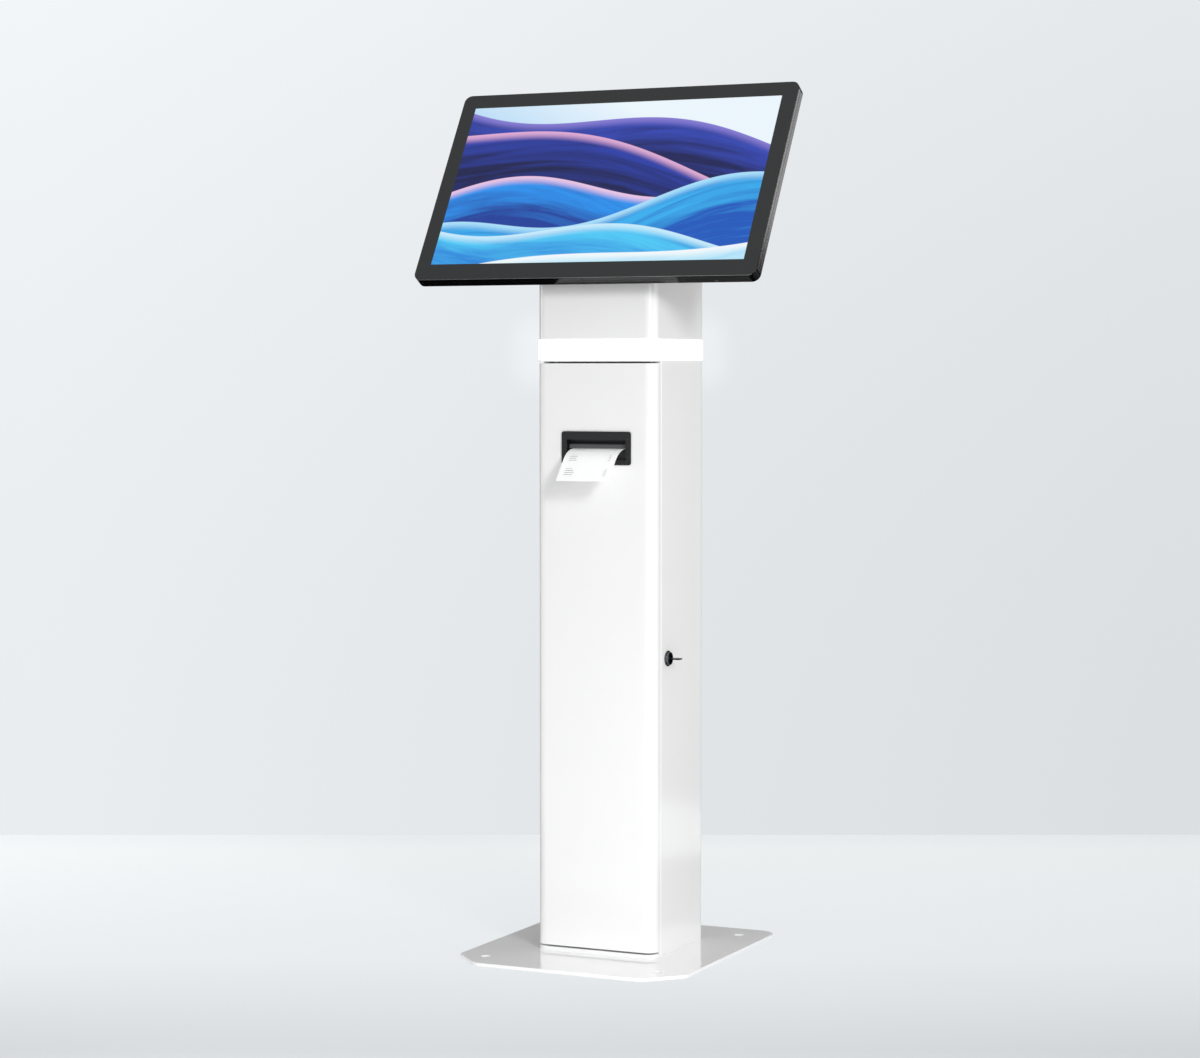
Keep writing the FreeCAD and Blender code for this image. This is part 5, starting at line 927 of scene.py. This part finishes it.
softened = (  # new name, node, body, slot, look, edge in mm
    ("neckBracket", "neck_bracket", "stand", "black_steel", "blackPowderCoat", 0.5),
    ("headBracket", "head_bracket", "display", "black_steel", "blackPowderCoat", 0.5),
    ("hingeFrameHalves", "hinge_barrels_frame", "stand", "white_powder", "whitePowderCoat", 0.2),
    ("hingeDoorHalves", "hinge_barrels_door", "door", "white_powder", "whitePowderCoat", 0.2),
    ("frontKey", "key", "key", "nickel", "blackNickel", 0.3),
    ("plug", "lock_plug", "lock_core", "chrome", "blackChrome", 0.2),
    ("latchCam", "lock_cam", "lock_core", "zinc", "zincPlate", 0.3),
    ("lockRingNut", "lock_nut", "stand", "zinc", "zincPlate", 0.4),
    ("hatStiffener", "door_stiffener", "door", "zinc", "zincPlate", 0.4),
    ("latchPlate", "door_catch", "door", "zinc", "zincPlate", 0.4),
    ("backPlate", "equipment_plate", "stand", "zinc", "zincPlate", 0.4),
    ("chassis", "printer_chassis", "door", "black_plastic", "blackNylon", 0.4),
    ("motor", "feed_motor", "door", "stainless", "groundStainless", 0.3),
    ("tearBar", "tear_bar", "door", "stainless", "blackOxide", 0.15),
    ("pushButton", "power_button", "power_button", "black_plastic", "blackNylon", 0.3))
for name, node, body, slot, look, edge in softened:
    finish(softCopy(name, node), body, node, look, edge)
print("brackets and hinges softened")


# Every CAD node that still shows gets the material of its slot

slotLooks = {"white_powder": "whitePowderCoat", "base_powder": "glossyPowderCoat", "zinc": "zincPlate",
             "black_steel": "blackPowderCoat", "stainless": "groundStainless", "chrome": "blackChrome",
             "nickel": "blackNickel", "opal": "litOpalAcrylic", "light_plastic": "paleAbs", "circuit": "solderMask",
             "charcoal": "charcoalAbs", "rim_grey": "pianoLacquer", "black_plastic": "blackNylon",
             "cover_glass": "printedGlass", "panel": "anodisedAluminium", "rubber": "blackRubber",
             "paper": "thermalPaper", "nylon": "naturalNylon", "aluminium": "anodisedAluminium",
             "lens_green": "greenLens"}
for entry in frame["record"]["subparts"]:
    node = nodes[entry["node"]]
    node.data.materials.clear()
    coat(node, slotLooks[entry["material_slot"]])
print("remaining nodes dressed")


# Floor, backdrop, lights and camera, in metres and degrees

stage = {"camera": (1.72336, -3.71998, 0.82173), "lens": 87.09, "pitch": 3.106, "yaw": 25.153, "wall": 5.12,
         # Painted light and shade of floor and backdrop: floorRun, floorSide and wallSide are painted gradients,
         # wallLift a painted lift with height, halo a painted glow of the collar's light.
         "floorRun": ((0.0, "#d6dadd"), (0.435, "#dbdfe2"), (0.481, "#e2e6e9"), (0.532, "#e9edf0"),
                      (0.621, "#f2f6f9"), (0.78, "#f7fbfe"), (0.943, "#fbffff"), (1.0, "#f7fbfe")),
         "floorReach": (-2.9, 0.0),
         "floorSide": ((0.0, "#ffffff"), (1.0, "#f3f3f3")), "sideReach": (-1.0, 1.0), "wallLift": 0.035,
         "haloMiddle": (0.035, 0, 0.857), "haloHalf": (0.145, 0, 0.018), "haloFade": 0.08, "haloLift": 0.07,
         "wallSide": ((0.0, "#e9edf0"), (0.35, "#e4e8eb"), (0.6, "#e0e4e7"), (1.0, "#dbdfe2")),
         "plain": "#e2e2e2", "floorShadow": 0.25,
         # Sheets: place from the wall's foot, turn about X, width and height.
         "studioFloor": ((0, -7, 0), 0, 24, 14), "studioWall": ((0, 0, 1.5), 90, 6, 3),
         "cardBehind": ((0, -0.1, 1.5), 90, 6, 3), "cardBelow": ((-0.25, -0.72, 0.004), 0, 1.9, 1.3)}


def makeStage():
    yaw = math.radians(stage["yaw"])
    ahead = Vector((-math.sin(yaw), math.cos(yaw), 0))
    foot = Vector((stage["camera"][0], stage["camera"][1], 0)) + ahead * stage["wall"]
    toWall = Matrix.Translation(foot) @ Matrix.Rotation(yaw, 4, "Z")

    def startSheet(name):
        place, turn, wide, tall = stage[name]
        wake()
        bpy.ops.mesh.primitive_plane_add(size=1)
        sheet = settle(name)
        sheet.data.transform(toWall @ Matrix.Translation(place) @ Matrix.Rotation(math.radians(turn), 4, "X")
                             @ Matrix.Diagonal((wide, tall, 1, 1)))
        return sheet

    def paint(name, shadow, draw):
        # A painted sheet seen from its front only: camera, gloss and glass see its colours, which keep a
        # share of the shadows, while the light that it throws back is plain grey.
        material = bpy.data.materials.new(name)
        material.use_nodes = True
        tree = material.node_tree
        tree.nodes.clear()
        turned = addNode(tree, "Mapping", {"vector_type": "TEXTURE", "Location": foot, "Rotation": (0, 0, yaw)},
                         {"Vector": addNode(tree, "TexCoord").outputs["Object"]})
        colour = draw(tree, turned)
        rays = addNode(tree, "LightPath")
        seen = rays.outputs["Is Camera Ray"]
        for kind in ("Is Glossy Ray", "Is Transmission Ray"):
            seen = addNode(tree, "Math", {"operation": "MAXIMUM"}, {0: seen, 1: rays.outputs[kind]})
        tint = addNode(tree, "Mix", {"data_type": "RGBA", 6: linearColour(stage["plain"])}, {0: seen, 7: colour})
        matt = addNode(tree, "BsdfDiffuse", None, {0: tint.outputs[2]})
        glow = addNode(tree, "Emission", None, {0: colour})
        part = addNode(tree, "Math", {"operation": "MULTIPLY", 1: 1 - shadow}, {0: seen})
        mixed = addNode(tree, "MixShader", None, {0: part, 1: matt, 2: glow})
        sided = addNode(tree, "MixShader", None, {0: addNode(tree, "NewGeometry").outputs["Backfacing"], 1: mixed,
                                                  2: addNode(tree, "BsdfTransparent")})
        addNode(tree, "OutputMaterial", None, {0: sided})
        return material

    def blendAlong(tree, way, reach, stops):
        share = addNode(tree, "MapRange", {"From Min": reach[0], "From Max": reach[1]}, {"Value": way})
        band = addNode(tree, "ValToRGB", None, {0: share})
        for spot, code in stops:
            inner = 0 < spot < 1
            stop = band.color_ramp.elements.new(spot) if inner else band.color_ramp.elements[-1 if spot else 0]
            stop.color = linearColour(code)
        return band

    def floorPaint(tree, turned):
        # Painted shade: darker with the distance from the wall's foot towards the camera, then a little darker to
        # the right.
        axes = addNode(tree, "SeparateXYZ", None, {0: turned})
        run = blendAlong(tree, axes.outputs[1], stage["floorReach"], stage["floorRun"])
        side = blendAlong(tree, axes.outputs[0], stage["sideReach"], stage["floorSide"])
        return addNode(tree, "Mix", {"data_type": "RGBA", "blend_type": "MULTIPLY", 0: 1.0},
                       {6: run, 7: side}).outputs[2]

    def wallPaint(tree, turned):
        # Painted shade and light: darker from left to right, lighter with the square of the height, and a painted
        # glow of the collar's light around the collar.
        axes = addNode(tree, "SeparateXYZ", None, {0: turned})
        side = blendAlong(tree, axes.outputs[0], stage["sideReach"], stage["wallSide"])
        rise = addNode(tree, "Math", {"operation": "MULTIPLY"}, {0: axes.outputs[2], 1: axes.outputs[2]})
        # The collar's painted glow: a lift that fades with the distance from the collar's place on the backdrop.
        away = turned
        for operation, amount in (("SUBTRACT", stage["haloMiddle"]), ("ABSOLUTE", (0, 0, 0)),
                                  ("SUBTRACT", stage["haloHalf"]), ("MAXIMUM", (0, 0, 0)), ("MULTIPLY", (1, 0, 1))):
            away = addNode(tree, "VectorMath", {"operation": operation, 1: amount}, {0: away})
        away = addNode(tree, "VectorMath", {"operation": "LENGTH"}, {0: away}).outputs["Value"]
        halo = addNode(tree, "MapRange", {"interpolation_type": "SMOOTHERSTEP", "From Max": stage["haloFade"],
                                          "To Min": stage["haloLift"], "To Max": 0.0}, {"Value": away})
        lift = addNode(tree, "Math", {"operation": "MULTIPLY_ADD", 1: stage["wallLift"]}, {0: rise, 2: halo})
        return addNode(tree, "Mix", {"data_type": "RGBA", "blend_type": "ADD", 0: 1.0},
                       {6: side, 7: lift}).outputs[2]

    floor = startSheet("studioFloor")
    floor.data.materials.append(paint("paintedFloor", stage["floorShadow"], floorPaint))
    wall = startSheet("studioWall")
    wall.data.materials.append(paint("paperBackdrop", 0.0, wallPaint))
    # Two black velvet cards that only gloss sees, one behind the stand and one on the floor behind it: they
    # keep the plate, the black rim and the coat's edges dark where no white thing mirrors in them.
    materials["blackVelvet"] = makeSurface("blackVelvet", {
        "colours": ("#050505", "#080808"), "patch": 50, "grain": 2, "roughness": (0.9, 1.0),
        "values": {"Specular IOR Level": 0.0}})
    cards = [startSheet("cardBehind"), startSheet("cardBelow")]
    for card in cards:
        coat(card, "blackVelvet")
        card.visible_camera = card.visible_diffuse = card.visible_shadow = card.visible_transmission = False


lamps = (  # name, place, aim, width, height, watts
    ("keyLamp", (2.05, -2.5, 1.3), (0, 0, 0.65), 0.8, 0.8, 9.0),
    ("sideLamp", (2.3, 0.2, 0.62), (0, 0, 0.6), 1.0, 1.1, 4.6),
    ("edgeLamp", (-2.4, -0.2, 0.55), (0, 0, 0.55), 0.3, 1.1, 10.0),
    ("rimLamp", (0.86, 1.35, 1.27), (0.2, 0.0, 1.1), 0.3, 0.42, 2.1),
    ("lowLamp", (0.3, -0.9, 0.08), (0, 0, 0.04), 1.2, 0.1, 2.6),
    ("shadowLamp", (1.6, -1.45, 1.48), (0, 0, 0.6), 0.4, 0.4, 18.5))
worldLight = 0.5


def makeLights():
    for name, place, aim, wide, tall, watts in lamps:
        wake()
        way = Vector(aim) - Vector(place)
        bpy.ops.object.light_add(type="AREA", location=place, rotation=way.to_track_quat("-Z", "Y").to_euler())
        lamp = bpy.context.object
        lamp.name = name
        lamp.visible_camera = False
        lamp.data.shape, lamp.data.size, lamp.data.size_y, lamp.data.energy = "RECTANGLE", wide, tall, watts
    # The world shows a pale grey, and lights the object evenly at a strength of its own.
    world = bpy.data.worlds.new("paleStudio")
    world.use_nodes = True
    tree = world.node_tree
    tree.nodes.clear()
    rays = addNode(tree, "LightPath").outputs["Is Diffuse Ray"]
    shown = addNode(tree, "Background", {"Color": linearColour("#dfe3e6"), "Strength": 1.0})
    lit = addNode(tree, "Background", {"Color": linearColour("#ffffff"), "Strength": worldLight})
    mixed = addNode(tree, "MixShader", None, {0: rays, 1: shown, 2: lit})
    addNode(tree, "OutputWorld", None, {0: mixed})
    scene.world = world


def makeCamera():
    bpy.ops.object.camera_add(location=stage["camera"],
                              rotation=(math.radians(90 - stage["pitch"]), 0, math.radians(stage["yaw"])))
    camera = bpy.context.object
    camera.data.lens, camera.data.sensor_width = stage["lens"], 36
    scene.camera = camera


makeStage()
makeLights()
makeCamera()
scene.view_settings.view_transform = "Standard"
wake()
print("stage, lights and camera ready")
